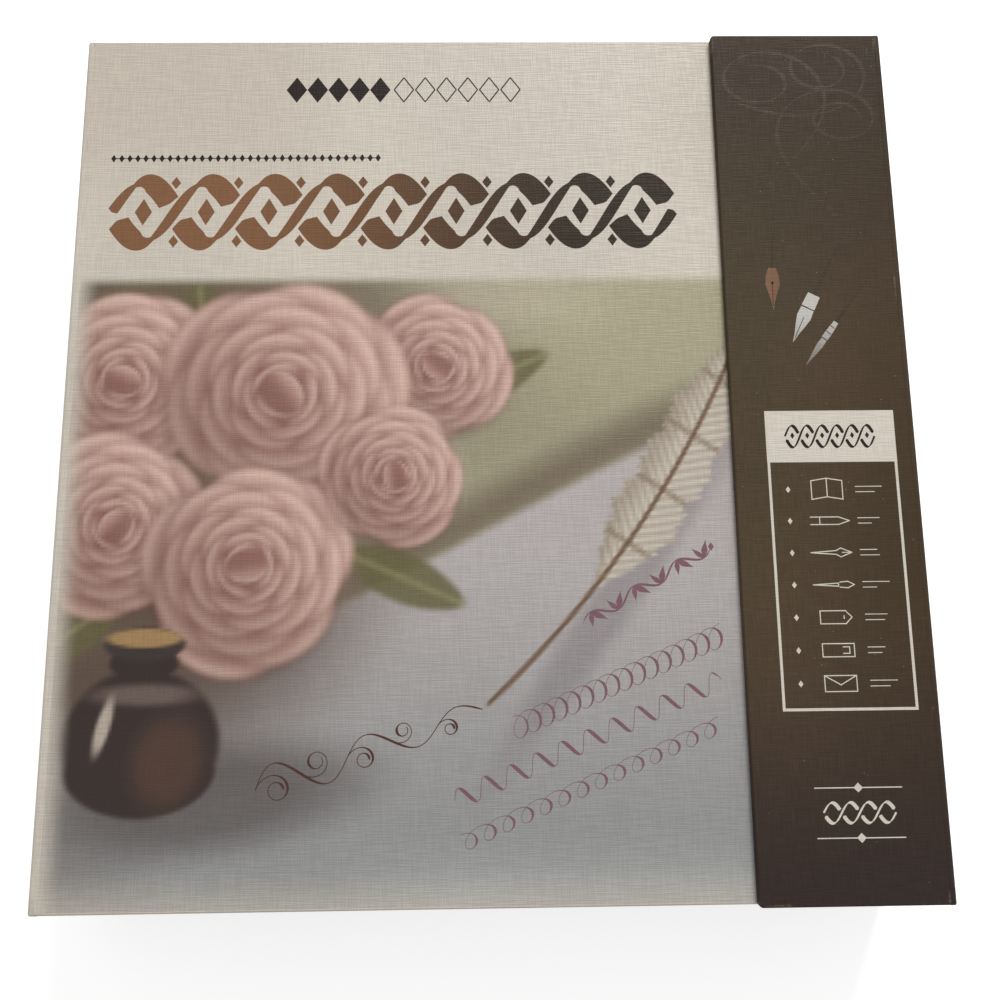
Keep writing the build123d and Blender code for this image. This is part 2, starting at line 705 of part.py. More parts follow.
def pen_cap():
    """The cap: a tapered, domed tube that fits the section's seat."""
    inner = pen_seat_radius + cap_run
    top = cap_mouth + cap_length
    neck = cap_radius - cap_crown / 3
    lip = cap_radius - cap_crown / 8
    band = cap_mouth + 2 * cap_crown
    shoulder, crown = neck - cap_crown / 2, neck - cap_crown
    closed, cone = top - cap_top, cap_top / 4
    return turned(
        Line((inner, cap_mouth), (lip, cap_mouth)),
        Line((lip, cap_mouth), (cap_radius, cap_mouth + cap_crown / 3)),
        Line((cap_radius, cap_mouth + cap_crown / 3), (cap_radius, band)),
        Line((cap_radius, band), (neck, top - cap_crown)),
        ThreePointArc((neck, top - cap_crown), (shoulder, top - cap_crown / 4), (crown, top)),
        Line((crown, top), (0, top)),
        Line((0, top), (0, closed)),
        Line((0, closed), (inner - cone, closed)),
        Line((inner - cone, closed), (inner, closed - cone)),
        Line((inner, closed - cone), (inner, cap_mouth)),
    )


def make_pen(name, x, tip_width):
    """One cartridge pen, in the place of its channel."""
    place = Pos(x, tool_tail_y, tool_z)
    front = pen_barrel_length + pen_section_length
    cartridge_tail = pen_barrel_length - pen_spigot - cartridge_length - 4 * lid_air
    clip = pen_clip()
    pieces = {
        "barrel": pen_barrel(),
        "section": pen_section(),
        "feed": feed(pen_nib_tip - nib_reach / 5),
        "nib": nib(nib_radius, front - 0.7 * nib_heel, front + pen_nib_wing, pen_nib_tip, tip_width / 2),
        "cap": pen_cap() - clip,
        "clip": clip,
        "cartridge": Pos(0, cartridge_tail, 0) * cartridge(),
    }
    return {f"{name}_{piece}": place * solid for piece, solid in pieces.items()}


def make_inks():
    """The spare cartridges, in rows and columns in their well."""
    first_x = ink_x - ink_w / 2 + well_clear + ink_spread / 2
    first_y = ink_y - (cartridge_rows - 1) * cartridge_pitch / 2
    z = ink_floor + cartridge_radius + lid_air
    spare = Rot(0, 0, -90) * cartridge()
    column_pitch = cartridge_length + well_clear
    places = [
        Pos(first_x + column * column_pitch, first_y + row * cartridge_pitch, z)
        for column in range(cartridge_columns)
        for row in range(cartridge_rows)
    ]
    return {"ink_cartridges": Compound([place * spare for place in places])}


def make_dip_pen():
    """The dip pen: a turned holder whose stub and ferrule clamp the heel of a pointed nib."""
    place = Pos(tool_x[2], tool_tail_y, tool_z)
    end, mouth = holder_length, holder_length + ferrule_length
    neck = 0.9 * holder_radius
    stub = neck - ferrule_wall - nib_sheet - lid_air
    tube = stub + nib_sheet + lid_air
    swell, tail = 0.86 * end, holder_tail_radius
    holder = turned(
        ThreePointArc((0, 0), (0.7 * tail, tail / 5), (tail, tail)),
        ThreePointArc((tail, tail), (0.6 * holder_radius, end / 2), (holder_radius, swell)),
        ThreePointArc((holder_radius, swell), (0.98 * holder_radius, (swell + end) / 2), (neck, end)),
        Line((neck, end), (stub, end)),
        Line((stub, end), (stub, mouth - ferrule_wall)),
        Line((stub, mouth - ferrule_wall), (0, mouth - ferrule_wall)),
        Line((0, mouth - ferrule_wall), (0, 0)),
    )
    ferrule = lathe(
        [
            (tube, end + lid_air),
            (neck, end + lid_air),
            (neck, end + ferrule_length / 5),
            (neck - ferrule_wall / 2, end + ferrule_length / 4),
            (tube + ferrule_wall / 2, mouth),
            (tube, mouth),
        ]
    )
    wing, tip = mouth + 0.4 * dip_nib_reach, mouth + dip_nib_reach
    point = nib(stub + nib_sheet, end + ferrule_length / 4, wing, tip, 2 * nib_slit)
    return {
        "dip_pen_holder": place * holder,
        "dip_pen_ferrule": place * ferrule,
        "dip_pen_nib": place * point,
    }


def make_brush():
    """The brush: a turned handle, a tapered ferrule and a pointed tuft."""
    place = Pos(tool_x[3], tool_tail_y, tool_z)
    end, mouth = brush_handle_length, brush_handle_length + brush_ferrule_length
    neck, tail, swell = 0.7 * brush_radius, 0.3 * brush_radius, 0.82 * brush_handle_length
    stub = neck - ferrule_wall
    root = end + brush_ferrule_length / 3
    handle = turned(
        ThreePointArc((0, 0), (0.7 * tail, tail / 5), (tail, tail)),
        ThreePointArc((tail, tail), (0.6 * brush_radius, end / 2), (brush_radius, swell)),
        ThreePointArc((brush_radius, swell), (0.9 * brush_radius, (swell + end) / 2), (neck, end)),
        Line((neck, end), (stub, end)),
        Line((stub, end), (stub, root)),
        Line((stub, root), (0, root)),
        Line((0, root), (0, 0)),
    )
    bore = stub + lid_air
    start = end + lid_air
    ferrule = lathe([(bore, start), (neck, start), (neck - ferrule_wall / 2, mouth), (bore, mouth)])
    belly, waist, tip = (mouth + share * bristle_reach for share in (0.25, 0.5, 1.0))
    tuft = turned(
        Line((0, root + lid_air), (stub, root + lid_air)),
        Line((stub, root + lid_air), (stub, mouth)),
        ThreePointArc((stub, mouth), (1.15 * stub, belly), (0.9 * stub, waist)),
        ThreePointArc((0.9 * stub, waist), (0.5 * stub, mouth + 0.8 * bristle_reach), (bristle_point, tip)),
        Line((bristle_point, tip), (0, tip)),
        Line((0, tip), (0, root + lid_air)),
    )
    return {"brush_handle": place * handle, "brush_ferrule": place * ferrule, "brush_tuft": place * tuft}


# --- paints -----------------------------------------------------------------------------------------------
def pot_x(n):
    """The middle of one pot of the strip."""
    return paint_x + (n - (pot_count - 1) / 2) * pot_pitch


def pot_outline(n, half, corner, z):
    """The rounded square of one pot, or of a shape inside it."""
    return Pos(pot_x(n), pots_y, z) * RectangleRounded(2 * half, 2 * half, corner)


def make_paints():
    """A strip of pots joined at their rims, the paint in them, and a hinged lid for each."""
    half, inner = pot_side / 2, pot_side / 2 - pot_wall
    foot, floor_z = paint_floor + lid_air, paint_floor + lid_air + pot_wall
    first, last = pot_x(0), pot_x(pot_count - 1)
    web_y = half - pot_round
    strip = block(first, last, pots_y - web_y, pots_y + web_y, pot_top - pot_web, pot_top)
    paints = []
    for n in range(pot_count):
        strip += extrude(pot_outline(n, half, pot_round, foot), pot_top - foot)
    for n in range(pot_count):
        hollow = pot_outline(n, inner, pot_round - pot_wall, floor_z)
        strip -= extrude(hollow, pot_height)
        paints.append(extrude(hollow, paint_depth))
    lids = {f"paint_lid_{n + 1}": paint_lid(n) for n in range(pot_count)}
    return {"paint_pots": strip, "paints": Compound(paints), **lids}


def paint_lid(n):
    """One lid: a plate with a plug that enters the pot, a tab to lift it by, and the bead it turns on."""
    half, plug = pot_side / 2, pot_side / 2 - pot_wall - lid_play
    under = pot_top + lid_air
    lid = extrude(pot_outline(n, half, pot_round, under), lid_thickness)
    lid += extrude(pot_outline(n, plug, pot_round - pot_wall, under), -lid_plug)
    lid -= extrude(pot_outline(n, plug - lid_thickness, pot_round - pot_wall, under), -lid_plug)
    x, front, back, tab, bead = pot_x(n), pots_y - half, pots_y + half, pot_side / 6, half - pot_round
    lid += block(x - tab, x + tab, front - lid_tab, front + lid_tab, under, under + lid_thickness)
    lid += Pos(x, hinge_y, hinge_z) * Rot(0, 90, 0) * Cylinder(lid_bead, 2 * bead)
    return lid + block(x - bead, x + bead, back - lid_bead, hinge_y, under, hinge_z)


def build():
    """Every sub-part by the name of its node."""
    return {
        **make_case(),
        **make_cover(),
        **make_flap(),
        **make_tray(),
        **make_insert(),
        **make_book(),
        **make_stationery(),
        **make_tags(),
        **make_pen("fine_pen", tool_x[0], pen_nib_tips[0]),
        **make_pen("broad_pen", tool_x[1], pen_nib_tips[1]),
        **make_inks(),
        **make_dip_pen(),
        **make_brush(),
        **make_paints(),
    }


if __name__ == "__main__":
    for node, solid in build().items():
        export_step(solid, f"parts/{node}.step")
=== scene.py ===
# %% [markdown]
# # A calligraphy set in a paper-covered box
# The box is a row of greyboard panels in one skin of linen-embossed paper: a back, two sides, a wide front
# cover and a narrow flap that laps over it. Inside, a formed plastic insert holds the writing set.
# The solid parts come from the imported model. Here they get their finishes, and the print is laid on them.

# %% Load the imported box
import json
import math

import bpy
import numpy as np
from mathutils import Euler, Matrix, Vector


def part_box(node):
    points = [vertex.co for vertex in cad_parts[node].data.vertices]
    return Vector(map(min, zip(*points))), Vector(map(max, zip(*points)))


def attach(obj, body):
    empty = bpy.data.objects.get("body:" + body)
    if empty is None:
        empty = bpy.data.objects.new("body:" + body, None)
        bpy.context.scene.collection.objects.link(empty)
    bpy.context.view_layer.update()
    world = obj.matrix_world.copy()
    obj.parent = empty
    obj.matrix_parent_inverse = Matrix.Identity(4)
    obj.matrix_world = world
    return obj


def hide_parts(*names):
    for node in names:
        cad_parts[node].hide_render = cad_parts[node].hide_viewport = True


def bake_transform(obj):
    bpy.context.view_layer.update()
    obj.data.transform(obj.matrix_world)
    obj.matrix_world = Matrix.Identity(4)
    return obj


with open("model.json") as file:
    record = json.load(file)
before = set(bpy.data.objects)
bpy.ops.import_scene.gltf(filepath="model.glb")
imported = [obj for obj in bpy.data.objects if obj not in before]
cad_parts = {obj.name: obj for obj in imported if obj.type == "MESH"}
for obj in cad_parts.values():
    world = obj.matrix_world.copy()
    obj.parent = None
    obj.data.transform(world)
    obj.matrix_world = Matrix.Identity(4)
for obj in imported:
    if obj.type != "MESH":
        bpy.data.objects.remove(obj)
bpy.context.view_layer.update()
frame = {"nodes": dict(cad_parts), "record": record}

nodes = frame["nodes"]

# %% [markdown]
# ## Sizes
# Blender works in metres, and print is easier to place in millimetres, so a piece is worked out in
# millimetres and made smaller by `MM` as it is put into its mesh. Faces to print on are read off the frame.

# %% Read the faces that carry print
MM = 0.001
FILM = 0.02  # thickness of a layer of print


def corners(node):
    """The lowest and highest corner of a solid part, in millimetres."""
    low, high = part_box(node)
    return np.array(low) / MM, np.array(high) / MM


cover_low, cover_high = corners("cover_covering")
COVER_FACE = cover_high[2]
FLAP_FACE = corners("flap_covering")[1][2]
print("cover face", round(COVER_FACE, 2), "flap face", round(FLAP_FACE, 2))

# %% [markdown]
# ## Camera
# The camera hangs over the lower half of the cover and looks almost straight down, so that the head of the
# box, which is further off, looks narrower than the foot. A focal length and a sensor width set the view.

# %% Hang the camera over the cover
CAMERA_PLACE = (-1.6, -72.6, 349.8)  # in millimetres
CAMERA_TURN = (9.76, -0.83, -0.69)  # in degrees about X, Y and Z
FOCAL_LENGTH, SENSOR_WIDTH = 33.05, 36.0  # in millimetres


def new_object(name, data):
    """An object that holds the data, linked into the scene."""
    made = bpy.data.objects.new(name, data)
    bpy.context.scene.collection.objects.link(made)
    return made


camera_data = bpy.data.cameras.new("camera")
camera_data.lens = FOCAL_LENGTH
camera_data.sensor_width = SENSOR_WIDTH
camera_data.clip_start = 0.01
camera = new_object("camera", camera_data)
camera.location = np.array(CAMERA_PLACE) * MM
camera.rotation_euler = Euler([math.radians(turn) for turn in CAMERA_TURN])
bpy.context.scene.camera = camera
print("camera at", CAMERA_PLACE)

# %% [markdown]
# ## A small kit for materials
# A material is a tree of nodes. A few helpers keep the trees short: they add a node and fill its sockets, do
# arithmetic, mix two colours, and carry a value from one range to another. Colours are written as they look
# on a screen, from 0 to 255, and a shader wants them linear, so `tint` converts them.

# %% Helpers that build node trees
def linear(shares):
    """Linear light of a screen's share c: (c + 0.055) / 1.055 to the power 2.4, and c / 12.92 near black."""
    return np.where(shares > 0.04045, ((shares + 0.055) / 1.055) ** 2.4, shares / 12.92)


def tint(red, green, blue):
    """The linear colour of a screen colour, fully opaque."""
    return (*linear(np.array((red, green, blue)) / 255).tolist(), 1.0)


def add(tree, kind, values=None, **settings):
    """Add a node, apply its settings, and set or link its sockets by name or number."""
    made = tree.nodes.new("ShaderNode" + kind)
    for name, value in settings.items():
        setattr(made, name, value)
    for key, value in (values or {}).items():
        if isinstance(value, bpy.types.NodeSocket):
            tree.links.new(value, made.inputs[key])
        else:
            made.inputs[key].default_value = value
    return made


def reckon(tree, operation, first, *others):
    """Arithmetic on values or sockets: one step, taken again with each further value."""
    for other in others or (0.0,):
        first = add(tree, "Math", {0: first, 1: other}, operation=operation).outputs[0]
    return first


def mixed(tree, share, first, second):
    """A colour between two colours."""
    return add(tree, "Mix", {0: share, 6: first, 7: second}, data_type="RGBA").outputs[2]


def shaded(tree, colour, shade):
    """A colour made darker or lighter by a value near 1."""
    grey = add(tree, "CombineColor", {0: shade, 1: shade, 2: shade}).outputs[0]
    return add(tree, "Mix", {0: 1.0, 6: colour, 7: grey}, data_type="RGBA", blend_type="MULTIPLY").outputs[2]


def spread(tree, value, low, high, to_low=0.0, to_high=1.0):
    """A value carried from one range to another with soft ends."""
    values = {"Value": value, "From Min": low, "From Max": high, "To Min": to_low, "To Max": to_high}
    return add(tree, "MapRange", values, interpolation_type="SMOOTHSTEP").outputs[0]


def object_place(tree):
    """The place on the piece itself, in metres, which moves with the piece."""
    return add(tree, "TexCoord").outputs["Object"]


def axes(tree, place):
    """The X, Y and Z of a place."""
    return add(tree, "SeparateXYZ", {0: place}).outputs


def stretched_noise(tree, place, scale, detail=2.0):
    """Noise whose grain is long where its scale along an axis is small. One number scales all three axes."""
    grain = add(tree, "Mapping", {"Vector": place, "Scale": np.full(3, scale).tolist()}).outputs[0]
    return add(tree, "TexNoise", {"Vector": grain, "Scale": 1.0, "Detail": detail}).outputs[0]


def new_group(name, takes, gives):
    """A node group that takes inputs, with their usual values, and gives values. Its inputs come with it."""
    tree = bpy.data.node_groups.new(name, "ShaderNodeTree")
    for label, usual in takes.items():
        kind = "NodeSocketVector" if isinstance(usual, tuple) else "NodeSocketFloat"
        tree.interface.new_socket(label, in_out="INPUT", socket_type=kind).default_value = usual
    for label in gives:
        tree.interface.new_socket(label, in_out="OUTPUT", socket_type="NodeSocketFloat")
    tree.nodes.new("NodeGroupOutput")
    return tree, tree.nodes.new("NodeGroupInput").outputs


def give(tree, **values):
    """Link values to a group's outputs by name."""
    for label, value in values.items():
        tree.links.new(value, tree.nodes["Group Output"].inputs[label])
    print(tree.name + ":", len(tree.nodes), "nodes")


def use(tree, group, **values):
    """Place a group in a tree, with values or sockets for its inputs, and hand back its outputs."""
    return add(tree, "Group", values, node_tree=group).outputs


print("helpers are ready")

# %% [markdown]
# ## Embossed linen
# The covering paper is rolled with a linen pattern after it is printed: fine threads that cross, some
# thicker than others. A noise that is stretched along one axis looks like a bundle of such threads. There
# are three, one along each axis, and each fades out on the faces that look along its own axis, where it
# would show its cut ends. Their sum has knots where two threads cross and hollows between them, and no seam
# runs along an edge. The sum is the relief, and it also gives a painted shade that makes the colour lighter
# on the knots and darker in the hollows.

# %% Group: linen emboss
NOWHERE = (0.0, 0.0, 0.0)
LONG = 0.045  # a thread's fineness along itself, as a share of that across it
CROSSED = (0.72, 1.28)  # the sum of the threads in a hollow and on a knot
linen, taken = new_group("linen_emboss", {"Place": NOWHERE, "Threads": 2600.0}, ("Height", "Shade"))
normal = add(linen, "TexCoord").outputs["Normal"]
facing = add(linen, "VectorMath", {0: normal}, operation="ABSOLUTE").outputs[0]
sized = add(linen, "VectorMath", {0: taken["Place"], 3: taken["Threads"]}, operation="SCALE").outputs[0]
threads = []
for turned_to, scale in zip(axes(linen, facing), ((LONG, 1, 1), (1, LONG, 1), (1, 1, LONG))):
    thread = stretched_noise(linen, sized, scale, 1.0)
    threads.append(reckon(linen, "MULTIPLY", thread, reckon(linen, "SUBTRACT", 1.0, turned_to)))
crossed = reckon(linen, "ADD", *threads)
# Shade is painted shade of the relief: lighter on the knots, darker in the hollows.
give(linen, Height=spread(linen, crossed, *CROSSED), Shade=spread(linen, crossed, *CROSSED, 0.93, 1.07))

# %% [markdown]
# ## Worn edges
# Hands rub a box at its edges, and most at its corners, where the print goes first. A place is near an edge
# when it is close to two faces of its panel at once. So the group takes the distance to the panel's nearest
# face along each axis and keeps the middle one of the three. The largest of the three is small only at a
# corner. Noise makes the rubbed line come and go.

# %% Group: edge wear
CORNER_REACH, CORNER_CORE = 0.014, 0.002  # how far from a corner the extra wear starts and is full, in metres
PATCH_LEVEL, PATCH_GAIN = 0.66, 8.0  # noise over the level adds to the wear, and noise under it takes away
wear, taken = new_group(
    "edge_wear",
    {"Place": NOWHERE, "Middle": NOWHERE, "Half": (0.1, 0.1, 0.01), "Reach": 0.0012, "Patchiness": 0.8},
    ("Worn",),
)
offset = add(wear, "VectorMath", {0: taken["Place"], 1: taken["Middle"]}, operation="SUBTRACT").outputs[0]
away = add(wear, "VectorMath", {0: offset}, operation="ABSOLUTE").outputs[0]
inside = add(wear, "VectorMath", {0: taken["Half"], 1: away}, operation="SUBTRACT").outputs[0]
gap = axes(wear, inside)
lower = reckon(wear, "MINIMUM", gap[0], gap[1])
upper = reckon(wear, "MAXIMUM", gap[0], gap[1])
middle_gap = reckon(wear, "MAXIMUM", lower, reckon(wear, "MINIMUM", upper, gap[2]))
corner = spread(wear, reckon(wear, "MAXIMUM", upper, gap[2]), CORNER_REACH, CORNER_CORE, 0.0, 0.85)
near = reckon(wear, "SUBTRACT", 1.0, reckon(wear, "DIVIDE", middle_gap, taken["Reach"]))
patches = reckon(wear, "SUBTRACT", stretched_noise(wear, taken["Place"], 95, 9.0), PATCH_LEVEL)
uneven = reckon(wear, "MULTIPLY", patches, taken["Patchiness"], PATCH_GAIN)
give(wear, Worn=spread(wear, reckon(wear, "ADD", near, uneven, corner), 0.15, 1.4))

# %% [markdown]
# ## Specks, fibres and grain
# Dark paper shows lint. Plain papers and boards are a mat of fibres. Wood has lines along the stick, and
# metal keeps the marks of its polishing. Each is noise at its own size, and each is a group, so that every
# material can use it with its own values.

# %% Groups: lint, fibres, wood grain and polishing marks
lint, taken = new_group("lint", {"Place": NOWHERE, "Size": 900.0}, ("Speck",))
cells = add(lint, "TexVoronoi", {"Vector": taken["Place"], "Scale": taken["Size"], "Randomness": 1.0}).outputs
close = spread(lint, cells["Distance"], 0.16, 0.08)
chosen = spread(lint, add(lint, "SeparateColor", {0: cells["Color"]}).outputs[0], 0.975, 0.985)
give(lint, Speck=reckon(lint, "MULTIPLY", close, chosen))

fibres, taken = new_group("paper_fibres", {"Place": NOWHERE, "Fineness": 2600.0}, ("Height", "Shade"))
mat = {"Vector": taken["Place"], "Scale": taken["Fineness"], "Detail": 4.0}
fine = add(fibres, "TexNoise", mat).outputs[0]
cloudy = stretched_noise(fibres, taken["Place"], 45, 3.0)
tones = (spread(fibres, fine, 0.3, 0.7, 0.965, 1.03), spread(fibres, cloudy, 0.3, 0.7, 0.97, 1.02))
give(fibres, Height=fine, Shade=reckon(fibres, "MULTIPLY", *tones))

grain, taken = new_group("wood_grain", {"Place": NOWHERE}, ("Shade", "Height"))
rings = stretched_noise(grain, taken["Place"], (700, 22, 700), 4.0)
pores = stretched_noise(grain, taken["Place"], (5200, 160, 5200), 2.0)
stripes = spread(grain, rings, 0.3, 0.7, 0.55, 1.35)
give(grain, Shade=stripes, Height=spread(grain, pores, 0.55, 0.7, 1.0, 0.0))

polish, taken = new_group("polishing_marks", {"Place": NOWHERE}, ("Roughness", "Height"))
marks = stretched_noise(polish, taken["Place"], (9000, 400, 9000), 3.0)
smears = stretched_noise(polish, taken["Place"], 120, 3.0)
dulls = (spread(polish, smears, 0.3, 0.7, 0.14, 0.3), spread(polish, marks, 0.4, 0.7, 0.0, 0.08))
give(polish, Roughness=reckon(polish, "ADD", *dulls), Height=marks)

# %% [markdown]
# ## Covering papers
# The spine, the cover and its hinge wear pale paper, and the back, the side and the flap wear dark paper. It
# is one printed sheet under a satin film, so both share the weave and the sheen. At rubbed edges the pale
# core of the paper shows on the dark panels, and grime darkens the pale ones. Shade is painted into the
# papers as well: the pale paper is darker towards the corners of its head, and the dark paper towards its
# foot and its head. Every panel has edges of its own, so a panel gets its own material with its own middle
# and half size.

# %% Materials for covering papers
PALE_PAPER = tint(210, 201, 187)
PALE_CLOUD = tint(202, 192, 180)
PALE_HEAD_SHADE = tint(198, 188, 174)
DARK_PAPER = tint(74, 63, 46)
DARK_CLOUD = tint(85, 69, 53)
DARK_HEAD_SHADE = tint(53, 41, 27)
DARK_SIDE = tint(58, 45, 30)
DARK_FOOT_SHADE = tint(53, 43, 39)
PAPER_CORE = tint(138, 124, 108)
GRIME = tint(158, 146, 130)
LINT = tint(190, 180, 165)


def begin(name, roughness=0.5, **sockets):
    """A material whose plain values sit on its shader's sockets, its tree, and the place on the piece."""
    material = bpy.data.materials.new(name)
    material.use_nodes = True
    tree = material.node_tree
    shader = tree.nodes["Principled BSDF"].inputs
    shader["Roughness"].default_value = roughness
    for key, value in sockets.items():
        shader[key.replace("_", " ")].default_value = value
    return material, tree, object_place(tree)


def coat(material, colour, height, depth, rough=None):
    """Link a colour, a relief of a depth in millimetres and, where it varies, a roughness to the shader."""
    tree = material.node_tree
    bump = add(tree, "Bump", {"Height": height, "Strength": 1.0, "Distance": depth * MM}).outputs[0]
    for key, value in (("Base Color", colour), ("Normal", bump), ("Roughness", rough)):
        if value is not None:
            tree.links.new(value, tree.nodes["Principled BSDF"].inputs[key])
    return material


def covering_paper(name, low, high, dark, reach=1.1):
    """Linen-embossed paper round one panel, worn within reach of the panel's edges, in millimetres."""
    material, tree, place = begin(name, Specular_IOR_Level=0.12 if dark else 0.3)
    height, shade = use(tree, linen, Place=place)[:2]
    middle, half = (low + high) / 2 * MM, (high - low) / 2 * MM
    edges = use(tree, wear, Place=place, Middle=middle.tolist(), Half=half.tolist(), Reach=reach * MM)[0]
    worn = reckon(tree, "MULTIPLY", edges, spread(tree, height, 0.25, 0.75, 0.3, 1.0))
    cloud = spread(tree, stretched_noise(tree, place, (14, 9, 14), 4.0), 0.3, 0.7)
    x, y = axes(tree, place)[:2]
    if dark:
        drift = mixed(tree, cloud, DARK_PAPER, DARK_CLOUD)
        # Painted shade: the dark paper is darker towards its foot, where the light falls off, and towards its
        # head, where it tones down the lamp's sheen. It is also darker towards its right.
        drift = mixed(tree, spread(tree, x, 0.09, 0.14, 0.0, 0.55), drift, DARK_SIDE)
        drift = mixed(tree, spread(tree, y, -0.15, -0.05), DARK_FOOT_SHADE, drift)
        drift = mixed(tree, spread(tree, y, 0.03, 0.15), drift, DARK_HEAD_SHADE)
        # The weave's painted shade, made stronger on the dark paper.
        weave_shade = spread(tree, shade, 0.93, 1.07, 0.89, 1.11)
        colour = mixed(tree, reckon(tree, "MULTIPLY", worn, 0.6), shaded(tree, drift, weave_shade), PAPER_CORE)
        speck = use(tree, lint, Place=place)[0]
        colour = mixed(tree, reckon(tree, "MULTIPLY", speck, 0.55), colour, LINT)
        dull, depth = 0.56, 0.04
    else:
        # Painted shade: the pale paper is darker towards the left and right corners of its head, where less
        # light falls.
        sideways = spread(tree, reckon(tree, "ABSOLUTE", x), 0.03, 0.09)
        head_shade = reckon(tree, "MULTIPLY", sideways, spread(tree, y, 0.07, 0.13))
        drift = mixed(tree, head_shade, mixed(tree, cloud, PALE_PAPER, PALE_CLOUD), PALE_HEAD_SHADE)
        colour = mixed(tree, reckon(tree, "MULTIPLY", worn, 0.7), shaded(tree, drift, shade), GRIME)
        dull, depth = 0.5, 0.06
    sheen = spread(tree, height, 0.0, 1.0, dull, dull - 0.1)
    rough = reckon(tree, "ADD", sheen, reckon(tree, "MULTIPLY", worn, 0.25))
    return coat(material, colour, height, depth, rough)


def dress(node, material):
    """Give a solid part its material in every slot of its mesh."""
    slots = nodes[node].data.materials
    for number in range(len(slots)):
        slots[number] = material
    if not len(slots):
        slots.append(material)


DARK_PANELS = ("back_covering", "side_covering", "flap_covering", "tray_covering")
for node in DARK_PANELS + ("spine_covering", "cover_covering"):
    dress(node, covering_paper(node, *corners(node), node in DARK_PANELS))
print("covering papers:", len(DARK_PANELS) + 2)

# %% [markdown]
# ## Linings, boards and papers
# The inside of both doors is lined with smooth cream paper that carries a small repeat of lozenges in a tone
# just darker than the paper. A lozenge is where |u| + |v| is small, with u and v counted from the middle of
# each cell of the repeat. Greyboard, kraft card and plain papers share the fibre group.

# %% Materials for linings, boards and papers
def plain_paper(name, colour, roughness=0.7, fineness=2600.0, depth=0.02):
    """Uncoated paper or board: a mat of fibres with a slow drift of tone."""
    material, tree, place = begin(name, roughness, Specular_IOR_Level=0.3)
    height, shade = use(tree, fibres, Place=place, Fineness=fineness)[:2]
    return coat(material, shaded(tree, colour, shade), height, depth)


def lining_paper(name, colour, ink_colour, pitches):
    """Smooth lining with a repeat of lozenges, its pitches across and up given in millimetres."""
    material, tree, place = begin(name, 0.62, Specular_IOR_Level=0.35)
    height, shade = use(tree, fibres, Place=place)[:2]
    from_middle = []
    for along, pitch in zip(axes(tree, place), pitches):
        cell = reckon(tree, "FRACT", reckon(tree, "DIVIDE", along, pitch * MM))
        from_middle.append(reckon(tree, "ABSOLUTE", reckon(tree, "SUBTRACT", cell, 0.5)))
    reach = reckon(tree, "ADD", *from_middle)
    rim = spread(tree, reckon(tree, "ABSOLUTE", reckon(tree, "SUBTRACT", reach, 0.44)), 0.03, 0.02)
    dot = spread(tree, reach, 0.09, 0.07)
    share = reckon(tree, "MULTIPLY", reckon(tree, "MAXIMUM", rim, dot), 0.55)
    printed = mixed(tree, share, colour, ink_colour)
    return coat(material, shaded(tree, printed, shade), height, 0.02)


def page_block(name, colour, gap_colour):
    """Paper seen at its cut edges: thin lines of page on page, about 10 to the millimetre."""
    material, tree, place = begin(name, 0.75, Specular_IOR_Level=0.25)
    lines = stretched_noise(tree, place, (30, 30, 9000), 1.0)
    return coat(material, mixed(tree, spread(tree, lines, 0.35, 0.65), colour, gap_colour), lines, 0.05)


FINISHES = {}


def make_finishes(recipes):
    """Make each finish by its recipe, which is a function and what the function takes after the name."""
    for name, (make, *values) in recipes.items():
        FINISHES[name] = make(name, *values)
    print("finishes:", ", ".join(recipes))


make_finishes(
    {
        "greyboard": (plain_paper, tint(168, 163, 155), 0.85, 1500.0, 0.06),
        "lining_sheet": (lining_paper, tint(219, 208, 188), tint(183, 160, 130), (6.0, 9.0)),
        "corner_tape": (plain_paper, tint(176, 146, 108), 0.6),
        "book_cover_card": (plain_paper, tint(214, 200, 176), 0.4),
        "book_paper": (page_block, tint(222, 215, 198), tint(196, 187, 168)),
        "envelope_paper": (plain_paper, tint(226, 212, 184), 0.7, 1800.0, 0.03),
        "card_stock": (plain_paper, tint(236, 230, 218), 0.6),
        "gift_tag_card": (plain_paper, tint(184, 148, 106), 0.75, 1700.0, 0.04),
        "bottle_tag_card": (plain_paper, tint(228, 218, 198), 0.65),
    }
)

# %% [markdown]
# ## Plastics, metals, wood, paint and hair
# A moulded plastic is nearly even, so it lives by its gloss: a faint orange-peel bump breaks the
# reflections up. Metals take their roughness from polishing marks that run along the tool. The paints sit in
# a row and each has its own colour, which a ramp picks by the place along the strip.

# %% Materials for the tools and the insert
def moulded(name, colour, roughness, peel=0.01):
    """Moulded or formed plastic with a faint orange peel and slight handling marks."""
    material, tree, place = begin(name, roughness)
    dull = stretched_noise(tree, place, 60, 4.0)
    rough = spread(tree, dull, 0.35, 0.75, roughness * 0.85, roughness * 1.3)
    lighter = (*(min(1.0, share * 1.25 + 0.002) for share in colour[:3]), 1.0)
    body = mixed(tree, spread(tree, dull, 0.35, 0.7), colour, lighter)
    return coat(material, body, stretched_noise(tree, place, 600, 2.0), peel, rough)


def metal(name, colour, tarnish):
    """Polished metal with marks along the tool and a little tarnish."""
    material, tree, place = begin(name, Metallic=1.0)
    rough, height = use(tree, polish, Place=place)[:2]
    clouds = spread(tree, stretched_noise(tree, place, (150, 60, 150), 4.0), 0.5, 0.75)
    return coat(material, mixed(tree, clouds, colour, tarnish), height, 0.004, rough)


def stained_wood(name, colour, gloss):
    """Turned wood under wax or lacquer, its grain along the handle."""
    material, tree, place = begin(name, gloss, Coat_Weight=0.5, Coat_Roughness=0.15)
    shade, height = use(tree, grain, Place=place)[:2]
    return coat(material, shaded(tree, colour, shade), height, 0.02)


